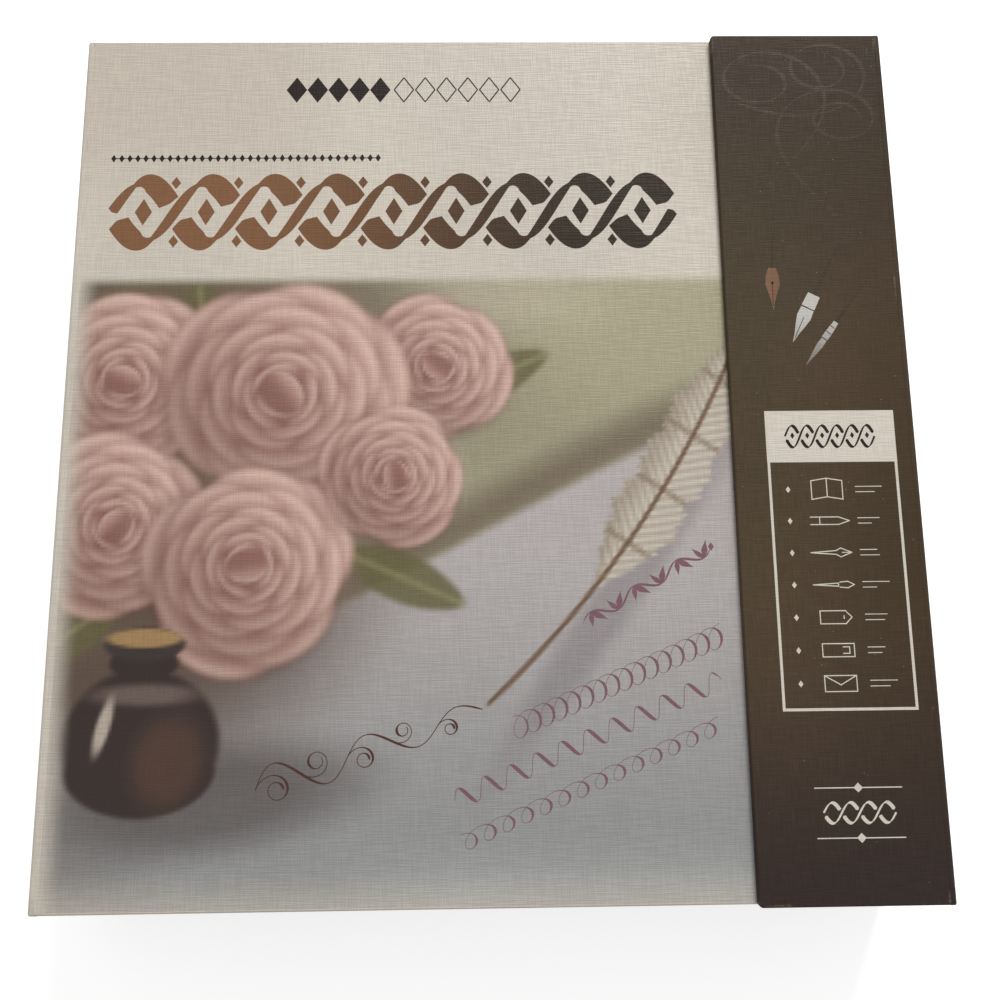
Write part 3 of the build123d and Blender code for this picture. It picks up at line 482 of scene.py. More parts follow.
def hair(name, node, root, tip):
    """A tuft of hair: dark for 10 mm past the ferrule, paler to the point, with fine lines along it."""
    material, tree, place = begin(name, 0.55)
    (_, start, _), (_, end, _) = corners(node)
    along = spread(tree, axes(tree, place)[1], (start + 10) * MM, end * MM)
    strands = stretched_noise(tree, place, (6000, 120, 6000), 3.0)
    colour = shaded(tree, mixed(tree, along, root, tip), spread(tree, strands, 0.3, 0.7, 0.6, 1.25))
    return coat(material, colour, strands, 0.1)


def pot_paints(name, node, colours):
    """Dried paint in a row of pots: a ramp with one step for each pot along X, and a dull crackled skin."""
    material, tree, place = begin(name)
    (start, _, _), (end, _, _) = corners(node)
    values = {"Value": axes(tree, place)[0], "From Min": start * MM, "From Max": end * MM}
    ramp = add(tree, "ValToRGB", {0: add(tree, "MapRange", values).outputs[0]})
    stops = ramp.color_ramp
    stops.interpolation = "CONSTANT"
    for number, colour in enumerate(colours):
        stop = stops.elements.new(number / len(colours)) if number else stops.elements[0]
        stop.color = colour
    stops.elements.remove(stops.elements[-1])
    skin = stretched_noise(tree, place, 300, 5.0)
    colour = shaded(tree, ramp.outputs[0], spread(tree, skin, 0.3, 0.7, 0.85, 1.1))
    return coat(material, colour, skin, 0.3, spread(tree, skin, 0.35, 0.7, 0.3, 0.6))


SCREEN_PAINTS = ((205, 48, 40), (232, 186, 46), (52, 118, 66), (36, 78, 158), (96, 58, 38), (24, 23, 24))
STEEL = (tint(205, 203, 198), tint(150, 147, 140))
GOLD_PLATE = (tint(214, 176, 108), tint(160, 120, 66))
make_finishes(
    {
        "disc_steel": (metal, *STEEL),
        "magnet": (metal, tint(188, 188, 186), tint(140, 138, 132)),
        "formed_sheet": (moulded, tint(44, 38, 35), 0.34, 0.03),
        "staple_wire": (metal, *STEEL),
        "pen_lacquer": (moulded, tint(24, 22, 23), 0.12),
        "pen_grip": (moulded, tint(34, 32, 32), 0.38),
        "feed_plastic": (moulded, tint(22, 22, 22), 0.3),
        "nib_steel": (metal, *STEEL),
        "clip_steel": (metal, *GOLD_PLATE),
        "ink_shell": (moulded, tint(28, 34, 62), 0.16),
        "holder_wood": (stained_wood, tint(116, 66, 38), 0.4),
        "ferrule_metal": (metal, *GOLD_PLATE),
        "copper_nib": (metal, tint(190, 120, 84), tint(140, 82, 58)),
        "brush_lacquer": (stained_wood, tint(92, 30, 26), 0.3),
        "bristle": (hair, "brush_tuft", tint(70, 45, 30), tint(168, 118, 74)),
        "pot_plastic": (moulded, tint(226, 225, 222), 0.3),
        "paint": (pot_paints, "paints", [tint(*colour) for colour in SCREEN_PAINTS]),
        "lid_plastic": (moulded, tint(232, 232, 230), 0.22),
    }
)

# %% [markdown]
# ## Dress every solid part
# The record says which finish each part has. The loop looks each part up and gives it the matching material.
# The coverings already have theirs.

# %% Put the finishes on the parts
for part in frame["record"]["subparts"]:
    if part["material_slot"] in FINISHES and part["node"] not in DARK_PANELS:
        dress(part["node"], FINISHES[part["material_slot"]])
bare = [name for name, part in nodes.items() if not part.data.materials[0].node_tree.nodes.get("Bump")]
print("parts without a relief of their own:", bare)

# %% [markdown]
# ## Pieces from numpy
# Everything that follows is a closed shell of its own, worked out as whole arrays of points. `make_piece`
# puts such arrays into a mesh and lets the piece ride on a body of the box, so that it moves with a door.

# %% Helpers that put arrays into meshes
def make_piece(name, points, faces, body, slot, material, smooth=False):
    """A mesh object from points in millimetres and faces, riding on a body, or on none."""
    mesh = bpy.data.meshes.new(name)
    mesh.from_pydata((np.asarray(points, float) * MM).tolist(), [], faces)
    mesh.polygons.foreach_set("use_smooth", [smooth] * len(mesh.polygons))
    mesh.materials.append(material)
    mesh.update()
    piece = new_object(name, mesh)
    if body:
        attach(piece, body)
    return piece


def ring_faces(rings, around, closed=False):
    """Quads between rings of points. Ring r holds the points r * around to r * around + around - 1."""
    ring = np.arange(rings if closed else rings - 1)[:, None]
    spot = np.arange(around)[None, :]
    here, following, beside = ring * around, (ring + 1) % rings * around, (spot + 1) % around
    quads = (here + spot, here + beside, following + beside, following + spot)
    return np.stack(quads, -1).reshape(-1, 4)


def slab(xs, ys, top, depth):
    """A closed slab: a grid of places on its top, one face below, and a wall round the rim."""
    across, up = np.meshgrid(xs, ys)
    wide, high = len(xs), len(ys)
    grid = np.stack([across, up, np.full_like(across, top)], -1).reshape(-1, 3)
    row, column = np.meshgrid(np.arange(high - 1), np.arange(wide - 1), indexing="ij")
    first = (row * wide + column).ravel()
    quads = np.stack([first, first + 1, first + wide + 1, first + wide], 1)
    index = np.arange(high * wide).reshape(high, wide)
    rim = np.concatenate([index[0, :-1], index[:-1, -1], index[-1, :0:-1], index[:0:-1, 0]])
    low = grid[rim] - (0, 0, depth)
    foot = high * wide + np.arange(len(rim))
    wall = np.stack([rim, foot, np.roll(foot, -1), np.roll(rim, -1)], 1)
    faces = quads.tolist() + wall.tolist() + [foot[::-1].tolist()]
    return np.concatenate([grid, low]), faces


HAIR = 0.0005  # from one stroke to the next above it
CLIMB = 6  # hairs that a stroke climbs on its way


def direction(places):
    """The unit direction of a line at each of its places."""
    along = np.gradient(places, axis=0)
    return along / np.maximum(np.linalg.norm(along, axis=1, keepdims=True), 1e-9)


def ribbons(lines, top, depth=FILM):
    """Flat closed ribbons along lines in the plane.

    A line is its places and its widths. The ribbon's two edges lie half a width to either side of the line,
    square to its direction, and each cross-section has four corners. A ribbon climbs a few hairs on its way
    and starts a hair above the last, so that strokes that cross never share a plane.
    """
    all_points, all_faces, start = [], [], 0
    for number, (places, widths) in enumerate(lines):
        along = direction(places)
        across = np.stack([-along[:, 1], along[:, 0]], 1) * widths[:, None] / 2
        left, right = places + across, places - across
        high = top + HAIR * (number + np.linspace(0, CLIMB, len(places)))[:, None]
        low = high - depth
        four = [np.hstack(pair) for pair in ((left, high), (right, high), (right, low), (left, low))]
        all_points.append(np.stack(four, 1).reshape(-1, 3))
        last = start + 4 * (len(places) - 1)
        all_faces += (ring_faces(len(places), 4) + start).tolist()
        all_faces += [[start + 3, start + 2, start + 1, start], [last, last + 1, last + 2, last + 3]]
        start = last + 4
    return np.concatenate(all_points), all_faces


def ease(share):
    """0 below 0, 1 above 1, and 3 s^2 - 2 s^3 between them."""
    share = np.clip(share, 0, 1)
    return share * share * (3 - 2 * share)


print("mesh helpers are ready")

# %% [markdown]
# ## Lines of a broad nib
# A broad nib is held at a fixed angle, so its line is thin along the nib and wide across it: its width is
# the least width plus the nib's breadth times the sine of the angle between line and nib. A flourish is a
# line whose heading is a polynomial of the way along it, which gives spirals and scrolls.

# %% Flourishes and the nib that draws them
NIB_ANGLE = 38.0
DOWNSTROKE = -70.0  # the way that a pointed nib is pulled, in degrees
TIP = 0.02  # width of a lozenge at its tips


def bearing(degrees):
    """The cosine and the sine of an angle in degrees."""
    return math.cos(math.radians(degrees)), math.sin(math.radians(degrees))


def flourish(start, heading, bends, length, count=90):
    """A line whose heading in degrees is heading + bends[0] s + bends[1] s^2 + ... for s from 0 to 1."""
    share = np.linspace(0, 1, count)
    turn = np.radians(heading + sum(bend * share ** (power + 1) for power, bend in enumerate(bends)))
    steps = np.stack([np.cos(turn), np.sin(turn)], 1) * length / (count - 1)
    return np.asarray(start, float) + np.cumsum(steps, 0) - steps[0]


def fitted(places, low, high):
    """Places stretched to fill a box in the plane."""
    least, most = places.min(0), places.max(0)
    return np.asarray(low) + (places - least) / (most - least) * (np.asarray(high) - np.asarray(low))


def inked(places, thin, breadth, taper=0.06):
    """The places of a line and the widths that a broad nib gives it, tapered at both ends."""
    along = np.gradient(places, axis=0)
    heading = np.arctan2(along[:, 1], along[:, 0])
    widths = thin + breadth * np.abs(np.sin(heading - math.radians(NIB_ANGLE)))
    share = np.linspace(0, 1, len(places))
    return places, widths * (0.12 + 0.88 * ease(share / taper) * ease((1 - share) / taper))


def pressed(places, thin, swell):
    """A pointed nib opens as it is pulled down: thin, plus swell times the squared share of down."""
    pull = np.clip(direction(places) @ bearing(DOWNSTROKE), 0, 1)
    share = np.linspace(0, 1, len(places))
    return places, thin + swell * pull ** 2 * ease(share / 0.03) * ease((1 - share) / 0.03)


def braid(low, high, links, thin, breadth):
    """Two strands that pass over and under each other, drawn with a broad nib.

    A strand's height is the sine of its way along the band, and the other's is the opposite. A strand stops
    short of the crossings where it passes under.
    """
    pitch = (high[0] - low[0]) / links
    middle, rise = (low[1] + high[1]) / 2, (high[1] - low[1] - thin - 0.6 * breadth) / 2
    short = 0.09
    made = []
    for strand, first in ((1, -1), (-1, 0)):
        for under in range(first, links, 2):
            start = 0.0 if under < 0 else under + short
            end = float(links) if under + 2 > links else under + 2 - short
            way = np.linspace(start, end, 64)
            places = np.stack([low[0] + way * pitch, middle + strand * rise * np.sin(np.pi * way)], 1)
            made.append(inked(places, thin, breadth, taper=0.012))
    return made


def bar(start, end, width):
    """A straight ribbon between two places."""
    return np.array([start, end], float), np.full(2, width)


def outline(tips, width):
    """Bars from tip to tip, each a little long so that their ends meet."""
    tips, made = np.asarray(tips, float), []
    for start, end in zip(tips[:-1], tips[1:]):
        reach = (end - start) / np.linalg.norm(end - start) * width / 2
        made.append(bar(start - reach, end + reach, width))
    return made


def spindle(start, end, widths):
    """A straight shape with a width at each of its evenly spaced stations."""
    share = np.linspace(0, 1, len(widths))[:, None]
    return np.asarray(start) + share * (np.asarray(end) - np.asarray(start)), np.asarray(widths, float)


def lozenge(middle, half_width, half_height):
    """A lozenge, as a ribbon that swells to its full width at its middle."""
    x, y = middle
    places = np.array([(x, y - half_height), (x, y), (x, y + half_height)])
    return places, np.array([TIP, 2 * half_width, TIP])


def frame_of(low, high, width):
    """Four bars round a box in the plane."""
    (x0, y0), (x1, y1), half = low, high, width / 2
    made = [bar((x0 - half, y), (x1 + half, y), width) for y in (y0, y1)]
    return made + [bar((x, y0), (x, y1), width) for x in (x0, x1)]


print("a flourish of 90 places is", round(float(np.ptp(flourish((0, 0), 0, [360], 60)[:, 0])), 1), "mm wide")

# %% [markdown]
# ## The picture on the cover
# The cover carries a soft-focus still life: roses and a feather beside an ink bottle, over a sheet of pale
# paper. It is painted in numpy. Every shape is a function of x and y that says how much of its colour lies
# at a place, with a soft rim, and the shapes are laid over each other from back to front. The colours go
# into the mesh as one colour per point of a grid with a millimetre between points.

# %% Shapes for a soft-focus painting
PETALS = 30
GOLDEN_ANGLE = 137.5
# The painting's colours are as on a screen, from 0 to 255.
PETAL_SHADOW, PETAL_FOOT = (92, 58, 50), (142, 98, 88)
PETAL_FACE, PETAL_RIM = (204, 166, 152), (228, 200, 186)
ROSE_LIGHT, ROSE_SHADE = (240, 216, 202), (84, 56, 48)
LEAF_GREEN, MIDRIB = (98, 92, 58), (150, 146, 104)
FEATHER, BARB, FEATHER_SHADE = (178, 166, 150), (226, 218, 204), (126, 110, 94)
PARTING, SHAFT = (120, 100, 82), (104, 78, 56)


def laid(under, colour, amount):
    """A colour laid over a picture, as much of it as amount says at each place."""
    return under + (np.asarray(colour, float) - under) * np.clip(amount, 0, 1)[..., None]


def turned_about(x, y, middle, degrees):
    """Places seen from a middle, with their axes turned."""
    (cosine, sine), dx, dy = bearing(degrees), x - middle[0], y - middle[1]
    return dx * cosine + dy * sine, dy * cosine - dx * sine


def disc(x, y, middle, radii, degrees=0.0, blur=0.3):
    """1 inside an ellipse and 0 outside it, with a rim as soft as blur, a share of the radii."""
    u, v = turned_about(x, y, middle, degrees)
    return 1 - ease((np.hypot(u / radii[0], v / radii[1]) - 1 + blur / 2) / blur)


def discs(picture, x, y, rows, within=1.0):
    """Soft ellipses laid in turn. Each has a colour, middle, radii, turn in degrees, blur and amount."""
    for colour, middle, radii, degrees, blur, amount in rows:
        picture = laid(picture, colour, disc(x, y, middle, radii, degrees, blur) * within * amount)
    return picture


def rose(under, x, y, middle, radius, turn):
    """A rose out of focus, laid petal over petal from its rim to its heart.

    A petal is a soft ellipse. Petal n stands at n golden angles, nearer the heart and smaller than the one
    before. It lays a soft shadow on those below, is dark at its foot and palest at its outer rim.
    """
    made = under
    for number in range(PETALS):
        share = number / (PETALS - 1)
        angle = turn + number * GOLDEN_ANGLE
        away = radius * 0.62 * (1 - share) ** 0.8
        size = radius * (0.5 - 0.33 * share)
        cosine, sine = bearing(angle)
        u, v = turned_about(x, y, (middle[0] + away * cosine, middle[1] + away * sine), angle)
        far = np.hypot(u / size, v / (1.3 * size))
        made = laid(made, PETAL_SHADOW, (1 - ease((far - 0.7) / 0.6)) * 0.3)
        petal = 1 - ease((far - 0.84) / 0.24)
        made = laid(made, PETAL_FOOT, petal * 0.92)
        made = laid(made, PETAL_FACE, petal * ease((u / size + 0.35) / 1.2) * 0.9)
        made = laid(made, PETAL_RIM, petal * ease((far - 0.62) / 0.3) * ease(u / size) * 0.55)
    far = np.hypot(x - middle[0], y - middle[1]) / radius
    lit = ease(0.5 + ((x - middle[0]) + (y - middle[1])) / radius / 2.4)
    inside = 1 - ease((far - 0.9) / 0.3)
    made = laid(made, ROSE_LIGHT, lit * inside * 0.16)
    return laid(made, ROSE_SHADE, (1 - lit) * inside * 0.34)


def leaf(under, x, y, base, degrees, length, width):
    """A leaf: a lens between two parabolas, with a pale midrib."""
    u, v = turned_about(x, y, base, degrees)
    share = u / length
    half = width * 2 * np.clip(share * (1 - share), 0, 1) * 2
    amount = ease((half - np.abs(v)) / 3 + 0.5) * ease(share * 8) * ease((1 - share) * 8)
    made = laid(under, LEAF_GREEN, amount * 0.85)
    return laid(made, MIDRIB, amount * (1 - ease(np.abs(v) / 2.0)) * 0.5)


def feather(under, x, y, tip, degrees, length, bend):
    """A feather: barbs either side of a shaft that bows by bend, parted here and there, bare at its foot."""
    u, v = turned_about(x, y, tip, degrees)
    share = u / length
    v = v - bend * 4 * share * (1 - share)
    ragged = 1.6 * np.sin(u * 0.53) * np.sin(u * 0.21 + 1) + 0.8 * np.sin(u * 1.9 + v)
    half = (10.5 + ragged) * ease((share - 0.3) / 0.2) * (1 - ease((share - 0.74) / 0.3)) + 0.4
    barbs = 0.5 + 0.5 * np.sin(u * 1.7 - np.abs(v) * 1.5)
    amount = ease((half - np.abs(v)) / 2.0 + 0.5) * ease((share - 0.24) / 0.08)
    amount = amount * (1 - ease((share - 0.97) / 0.06))
    made = laid(under, FEATHER, amount * 0.9)
    made = laid(made, BARB, amount * barbs * 0.6)
    made = laid(made, FEATHER_SHADE, amount * ease((v / half - 0.1) / 1.0) * 0.5)
    made = laid(made, PARTING, amount * ease((np.sin(u * 0.29) - 0.93) / 0.05) * 0.5)
    shaft = ease((0.8 - np.abs(v)) / 0.8 + 0.5) * ease(share / 0.01) * (1 - ease((share - 0.95) / 0.05))
    return laid(made, SHAFT, shaft * 0.9)


print("painting helpers are ready")


# %% Paint the still life
PICTURE_LOW = np.array((-143.6, -151.0))
PICTURE_HIGH = np.array((118.0, 59.5))
# A leaf has a base, a turn in degrees, a length and a width. A rose has a middle, a radius and a turn.
LEAVES = (((-30, 8), 24, 58, 8), ((-52, -36), -24, 50, 8), ((-96, 22), 96, 36, 9), ((-118, -50), 215, 40, 8))
ROSES = (
    ((-124, 22), 30, 40),
    ((-18, 26), 25, 200),
    ((-124, -28), 29, 110),
    ((-70, 17), 39, 10),
    ((-80, -42), 33, 250),
    ((-32, -12), 23, 160),
)
WALL_OLIVE, WALL_BROWN = (160, 153, 126), (96, 82, 66)
SHEET, SHEET_FOOT, SHEET_SIDE = (182, 175, 173), (150, 150, 149), (180, 173, 169)
SHEET_CORNER, SHEET_SHEEN = (128, 123, 119), (176, 178, 176)
SHADOW_OF_SHEET, SHADOW_OF_ROSES, SHADOW_OF_FEATHER = (88, 72, 58), (84, 66, 56), (128, 120, 122)
BOTTLE_SHADOW, BOTTLE_GLASS = (70, 62, 60), (44, 31, 28)
GARDEN = (
    ((172, 167, 136), (58, 42), (44, 26), 12, 1.2, 0.7),
    ((190, 180, 156), (6, 52), (30, 12), -8, 1.4, 0.6),
    ((120, 112, 62), (-108, 8), (34, 40), 0, 1.3, 0.7),
)
BOTTLE_LIGHTS = (
    ((104, 74, 56), (-103, -104), (11, 14), -12, 0.9, 0.5),
    ((150, 132, 122), (-111, -83), (17, 3.4), 0, 0.9, 0.55),
    ((226, 212, 196), (-124, -93), (2.2, 9), -14, 0.8, 0.75),
)
BOTTLE_MOUTH = (
    ((52, 42, 38), (-112, -67), (13, 5.5), 0, 0.2, 0.97),
    ((188, 152, 100), (-112, -65), (12.4, 3.0), 0, 0.4, 0.8),
)


def sheet_tones(x, y):
    """The pale sheet's own colours, which drift from its lit right to its shaded foot."""
    tone = laid(np.zeros((*x.shape, 3)) + SHEET, SHEET_FOOT, ease((-y - 30) / 110))
    tone = laid(tone, SHEET_SIDE, ease((x - 20) / 60) * ease((y + 70) / 60) * 0.6)
    tone = laid(tone, SHEET_CORNER, ease((-95 - x) / 40) * ease((-122 - y) / 18) * 0.6)
    return laid(tone, SHEET_SHEEN, ease((x + 70) / 60) * ease((-124 - y) / 20) * 0.5)


def ink_bottle(picture, x, y):
    """A round bottle of ink: its shadow, a dark body under a neck, soft lights on the body, and its mouth."""
    picture = laid(picture, BOTTLE_SHADOW, disc(x, y, (-92, -116), (48, 15), 8, 1.0) * 0.6)
    body = np.maximum(disc(x, y, (-112, -98), (25, 23), 0, 0.14), disc(x, y, (-112, -106), (24, 15), 0, 0.12))
    neck = disc(x, y, (-112, -73), (11, 6), 0, 0.22)
    picture = laid(picture, BOTTLE_GLASS, np.maximum(body, neck) * 0.97)
    return discs(discs(picture, x, y, BOTTLE_LIGHTS, body), x, y, BOTTLE_MOUTH)


def still_life(x, y):
    """The picture's colours on a grid of places, from 0 to 255."""
    west = ease((40 - x) / 150)
    picture = np.zeros((*x.shape, 3)) + WALL_OLIVE
    picture = laid(picture, WALL_BROWN, west * ease((y + 30) / 60))
    picture = discs(picture, x, y, GARDEN)
    sheet_edge = y - (-30 + 0.42 * x + 5 * np.sin(x / 44))
    paper = 1 - ease(sheet_edge / 5 + 0.5)
    picture = laid(picture, SHADOW_OF_SHEET, (1 - ease(np.abs(sheet_edge - 6) / 15)) * 0.55)
    picture = picture + (sheet_tones(x, y) - picture) * paper[..., None]
    picture = laid(picture, SHADOW_OF_ROSES, disc(x, y, (-112, -56), (66, 46), 20, 1.1) * 0.85)
    for shape in LEAVES:
        picture = leaf(picture, x, y, *shape)
    for shape in ROSES:
        picture = rose(picture, x, y, *shape)
    picture = ink_bottle(picture, x, y)
    picture = laid(picture, SHADOW_OF_FEATHER, disc(x, y, (44, -50), (68, 7), 54, 1.0) * paper * 0.5)
    return feather(picture, x, y, (-2, -88), 55, 158, -9)


def cover_colours(x, y):
    """The print's colours and how much of it covers the paper. It fades out at the picture's rim."""
    left, right, foot, head = x - PICTURE_LOW[0], PICTURE_HIGH[0] - x, y - PICTURE_LOW[1], PICTURE_HIGH[1] - y
    amount = ease(left / 10) * ease(right / 5) * (0.45 + 0.55 * ease(foot / 15)) * ease(head / 4.5)
    colours = linear(np.clip(still_life(x, y), 0, 255) / 255)
    return np.concatenate([colours, amount[..., None]], -1)


INSET = 0.9  # the film stops short of the rounded edges
film_x = np.arange(cover_low[0] + INSET, cover_high[0] - INSET, 1.0)
film_y = np.arange(cover_low[1] + INSET, cover_high[1] - INSET, 1.0)
film_y = film_y[(film_y < PICTURE_HIGH[1] + 1) | (np.arange(len(film_y)) % 5 == 0)]
film_points, film_faces = slab(film_x, film_y, COVER_FACE + FILM / 2, FILM)
colours = cover_colours(film_points[:, 0], film_points[:, 1])
print("film:", len(film_points), "points,", round(float(colours[:, 3].mean()) * 100), "% printed")

# %% [markdown]
# ## The film on the cover
# The film's material is the cover's own paper with the painted colour mixed in, as much of it as was
# painted. It has the same weave, wear and sheen as the paper beside it, so no edge shows where the film ends.

# %% Lay the printed film on the cover
def film_paper(name):
    """The cover's paper with the painting in it, read from the mesh's own colours."""
    material = covering_paper(name, cover_low, cover_high, False)
    tree = material.node_tree
    base = tree.nodes["Principled BSDF"].inputs["Base Color"]
    painted = add(tree, "VertexColor", layer_name="print").outputs
    shade = use(tree, linen, Place=object_place(tree))["Shade"]
    colour = mixed(tree, painted["Alpha"], base.links[0].from_socket, shaded(tree, painted["Color"], shade))
    tree.links.new(colour, base)
    return material


film_material = film_paper("printed_film")
film = make_piece("cover_picture", film_points, film_faces, "cover", "light_covering", film_material)
layer = film.data.attributes.new("print", "FLOAT_COLOR", "POINT")
layer.data.foreach_set("color", colours.astype(np.float32).ravel())
print("cover_picture:", len(film.data.polygons), "faces")

# %% [markdown]
# ## Printing inks
# The ornaments over the paper are drawn with crisp edges, so each is a thin closed ribbon rather than paint.
# A printed ink lies under the same film as the paper, so its material has the linen relief and the satin
# film too. Three inks change colour along the box: the copper of the braid turns to near-black from left to
# right, and the silver and copper of the drawn tools darken towards one end.

# %% Materials for printed ink
def ink(name, colour, far_colour=None, span=(0.0, 1.0), axis=0, gloss=0.42):
    """Printed ink under the film. Where it has a far colour, it turns to that over a span in millimetres."""
    material, tree, place = begin(name, gloss, Specular_IOR_Level=0.12)
    height, shade = use(tree, linen, Place=place)[:2]
    if far_colour:
        share = spread(tree, axes(tree, place)[axis], span[0] * MM, span[1] * MM)
        colour = mixed(tree, share, colour, far_colour)
    rough = spread(tree, height, 0.0, 1.0, gloss + 0.06, gloss - 0.04)
    return coat(material, shaded(tree, colour, shade), height, 0.06, rough)


COPPER_TO_BLACK = ink("copper_ink", tint(130, 93, 65), tint(50, 41, 31), (-96, 38))
BLACK_INK = ink("black_ink", tint(38, 31, 28))
MAUVE_INK = ink("mauve_ink", tint(128, 94, 104))
SEPIA_INK = ink("sepia_ink", tint(84, 56, 48))
CREAM_INK = ink("cream_ink", tint(216, 208, 195))
SILVER_INK = ink("silver_ink", tint(196, 192, 186), tint(120, 112, 104), (44, 22), axis=1)
FAINT_INK = ink("faint_ink", tint(65, 53, 40), gloss=0.4)
NIB_INK = ink("nib_ink", tint(128, 96, 74), tint(98, 68, 52), (96, 110))
UMBER_INK = ink("umber_ink", tint(104, 74, 52))
print("inks:", sum(name.endswith("_ink") for name in bpy.data.materials.keys()))


# %% [markdown]
# ## Ornament on the cover
# The head of the cover has three bands. The wide one is a braid drawn with a heavy nib, from copper to
# near-black, with a lozenge in each eye. Over it runs a thin rule with lozenges, and a row of lozenges
# stands above, some of them solid and some drawn in outline. The print on each door lies just over its face.

# %% Draw the bands at the head of the cover
DOORS = {
    "cover": (COVER_FACE + 1.2 * FILM, "light_covering"),
    "flap": (FLAP_FACE + 0.4 * FILM, "dark_covering"),
}


def print_on_door(door, name, shapes, material, lift=0.0):
    """Ribbons printed on a door as one piece, lifted where they lie over other print."""
    face, slot = DOORS[door]
    make_piece(name, *ribbons(shapes, face + lift), door, slot, material)
    print(name + ":", len(shapes), "ribbons")


def open_lozenge(middle, half_width, half_height, width):
    """A lozenge drawn as four bars."""
    x, y = middle
    tips = [(x, y + half_height), (x + half_width, y), (x, y - half_height), (x - half_width, y)]
    return [bar(tips[k], tips[(k + 1) % 4], width) for k in range(4)]


BRAID_LOW, BRAID_HIGH, LINKS = (-131.5, 69.0), (66.0, 97.0), 9
RULE_ENDS, RULE_HEIGHT, ROW_HEIGHT = (-132.0, -38.5), 103.4, 130.0
band = braid(BRAID_LOW, BRAID_HIGH, LINKS, 1.5, 6.4)
stops = np.linspace(BRAID_LOW[0], BRAID_HIGH[0], 2 * LINKS + 1)
band += [lozenge((x, (BRAID_LOW[1] + BRAID_HIGH[1]) / 2), 3.0, 5.0) for x in stops[1::2]]
for x in stops[2:-1:2]:
    band += [lozenge((x, y), 1.7, 2.3) for y in (BRAID_LOW[1] + 3, BRAID_HIGH[1] - 3)]
print_on_door("cover", "cover_braid", band, COPPER_TO_BLACK)

rule = [bar((RULE_ENDS[0], RULE_HEIGHT), (RULE_ENDS[1], RULE_HEIGHT), 0.3)]
rule += [lozenge((x, RULE_HEIGHT), 0.95, 1.45) for x in np.linspace(*RULE_ENDS, 34)]
print_on_door("cover", "cover_rule", rule, BLACK_INK)

row = [lozenge((x, ROW_HEIGHT), 3.7, 5) for x in np.linspace(-68, -38, 5)]
for x in np.linspace(-29.5, 9, 6):
    row += open_lozenge((x, ROW_HEIGHT), 3.5, 4.8, 0.45)
print_on_door("cover", "cover_lozenge_row", row, BLACK_INK)

# %% [markdown]
# ## Pen strokes on the painted sheet
# The pale sheet in the picture carries a page of pen exercises: ovals, a wave and loops, a sprig of leaves,
# and a running vine that ends at the tip of the quill. They are the patterns that a hand practises before
# it writes, and they spell nothing.

# %% Draw the flourishes and exercises
LEAF_SWELL = np.array([0.1, 0.7, 1.0, 0.75, 0.3, 0.02])  # a small leaf's width from foot to tip


def on_slope(start, degrees, u, v):
    """Places u along and v above a line that starts at a place and climbs at an angle."""
    cosine, sine = bearing(degrees)
    return np.stack([start[0] + u * cosine - v * sine, start[1] + u * sine + v * cosine], 1)


def ovals(start, degrees, length, rise, turns, slant, loose):
    """A row of pen loops: a circle carried along, leaning by slant, with its width loose times its height."""
    phase = np.linspace(0, 2 * np.pi * turns, int(turns * 44))
    v = rise * np.cos(phase)
    u = phase / phase[-1] * length + loose * rise * np.sin(phase) + slant * v
    return on_slope(start, degrees, u, v)


def wave(start, degrees, length, rise, halves):
    """A row of slanted strokes up and down: a sine of so many half waves."""
    share = np.linspace(0, 1, 420)
    return on_slope(start, degrees, share * length, rise * np.sin(share * halves * np.pi))


def running_vine(start, degrees, length, sway, curls):
    """A stem that sways like a sine, with a tendril in the hollow of each of its half waves.

    A tendril leaves the stem where it crosses its middle line, and turns the same way but faster and faster:
    its heading falls by 208 s + 310 s^2 degrees. Sway and tendrils shrink along the vine.
    """
    share = np.linspace(0, 1, 220)
    stem = on_slope(start, degrees, share * length, sway * (1 - 0.5 * share) * np.sin(share * np.pi * curls))
    made = [pressed(stem, 0.28, 1.0)]
    pitch = length / curls
    for number in range(curls):
        side, size = (1, -1)[number % 2], 1 - 0.5 * number / curls
        foot = on_slope(start, degrees, np.array([number * pitch]), np.zeros(1))[0]
        climb = math.degrees(math.atan(sway * size * math.pi / pitch))
        tendril = flourish(foot, degrees + side * climb, [-208 * side, -310 * side], 2.1 * pitch * size)
        made.append(pressed(tendril, 0.26, 0.55))
    return made


def sprig(start, degrees, length, sway, leaves, width):
    """A stem that sways like a sine: two leaves at each crest, on alternate sides, and a bud at its end."""
    share = np.linspace(0, 1, 120)
    stem = on_slope(start, degrees, share * length, sway * np.sin(share * np.pi * leaves))
    made = [inked(stem, 0.3, 0.7)]
    for number in range(leaves):
        side = 1 if number % 2 else -1
        foot = np.array([(number + 0.5) / leaves * length, -side * sway])
        for turn, size in ((52, 1.0), (112, 0.8)):
            cosine, sine = bearing(turn)
            tip = foot + size * 3.1 * sway * np.array([cosine, side * sine])
            ends = on_slope(start, degrees, np.array([foot[0], tip[0]]), np.array([foot[1], tip[1]]))
            made.append(spindle(ends[0], ends[1], size * width * LEAF_SWELL))
    made.append(lozenge(stem[-1], 1.0, 1.4))
    return made


SLOPE = 23.0
rows = [
    pressed(ovals((7, -95), SLOPE, 74, 3.6, 16, 0.3, 0.95), 0.16, 0.8),
    pressed(wave((-12, -117), SLOPE, 94, 3.1, 21), 0.2, 1.3),
    pressed(ovals((-10, -130), SLOPE, 90, 2.6, 14, 0.3, 1.3), 0.16, 0.75),
]
print_on_door("cover", "sheet_exercises", rows, MAUVE_INK)
print_on_door("cover", "sheet_flourish", running_vine((-75, -113), 18.5, 76, 6.4, 5), SEPIA_INK)
print_on_door("cover", "sheet_sprig", sprig((30, -62), SLOPE + 7, 50, 2.0, 6, 2.1), MAUVE_INK)

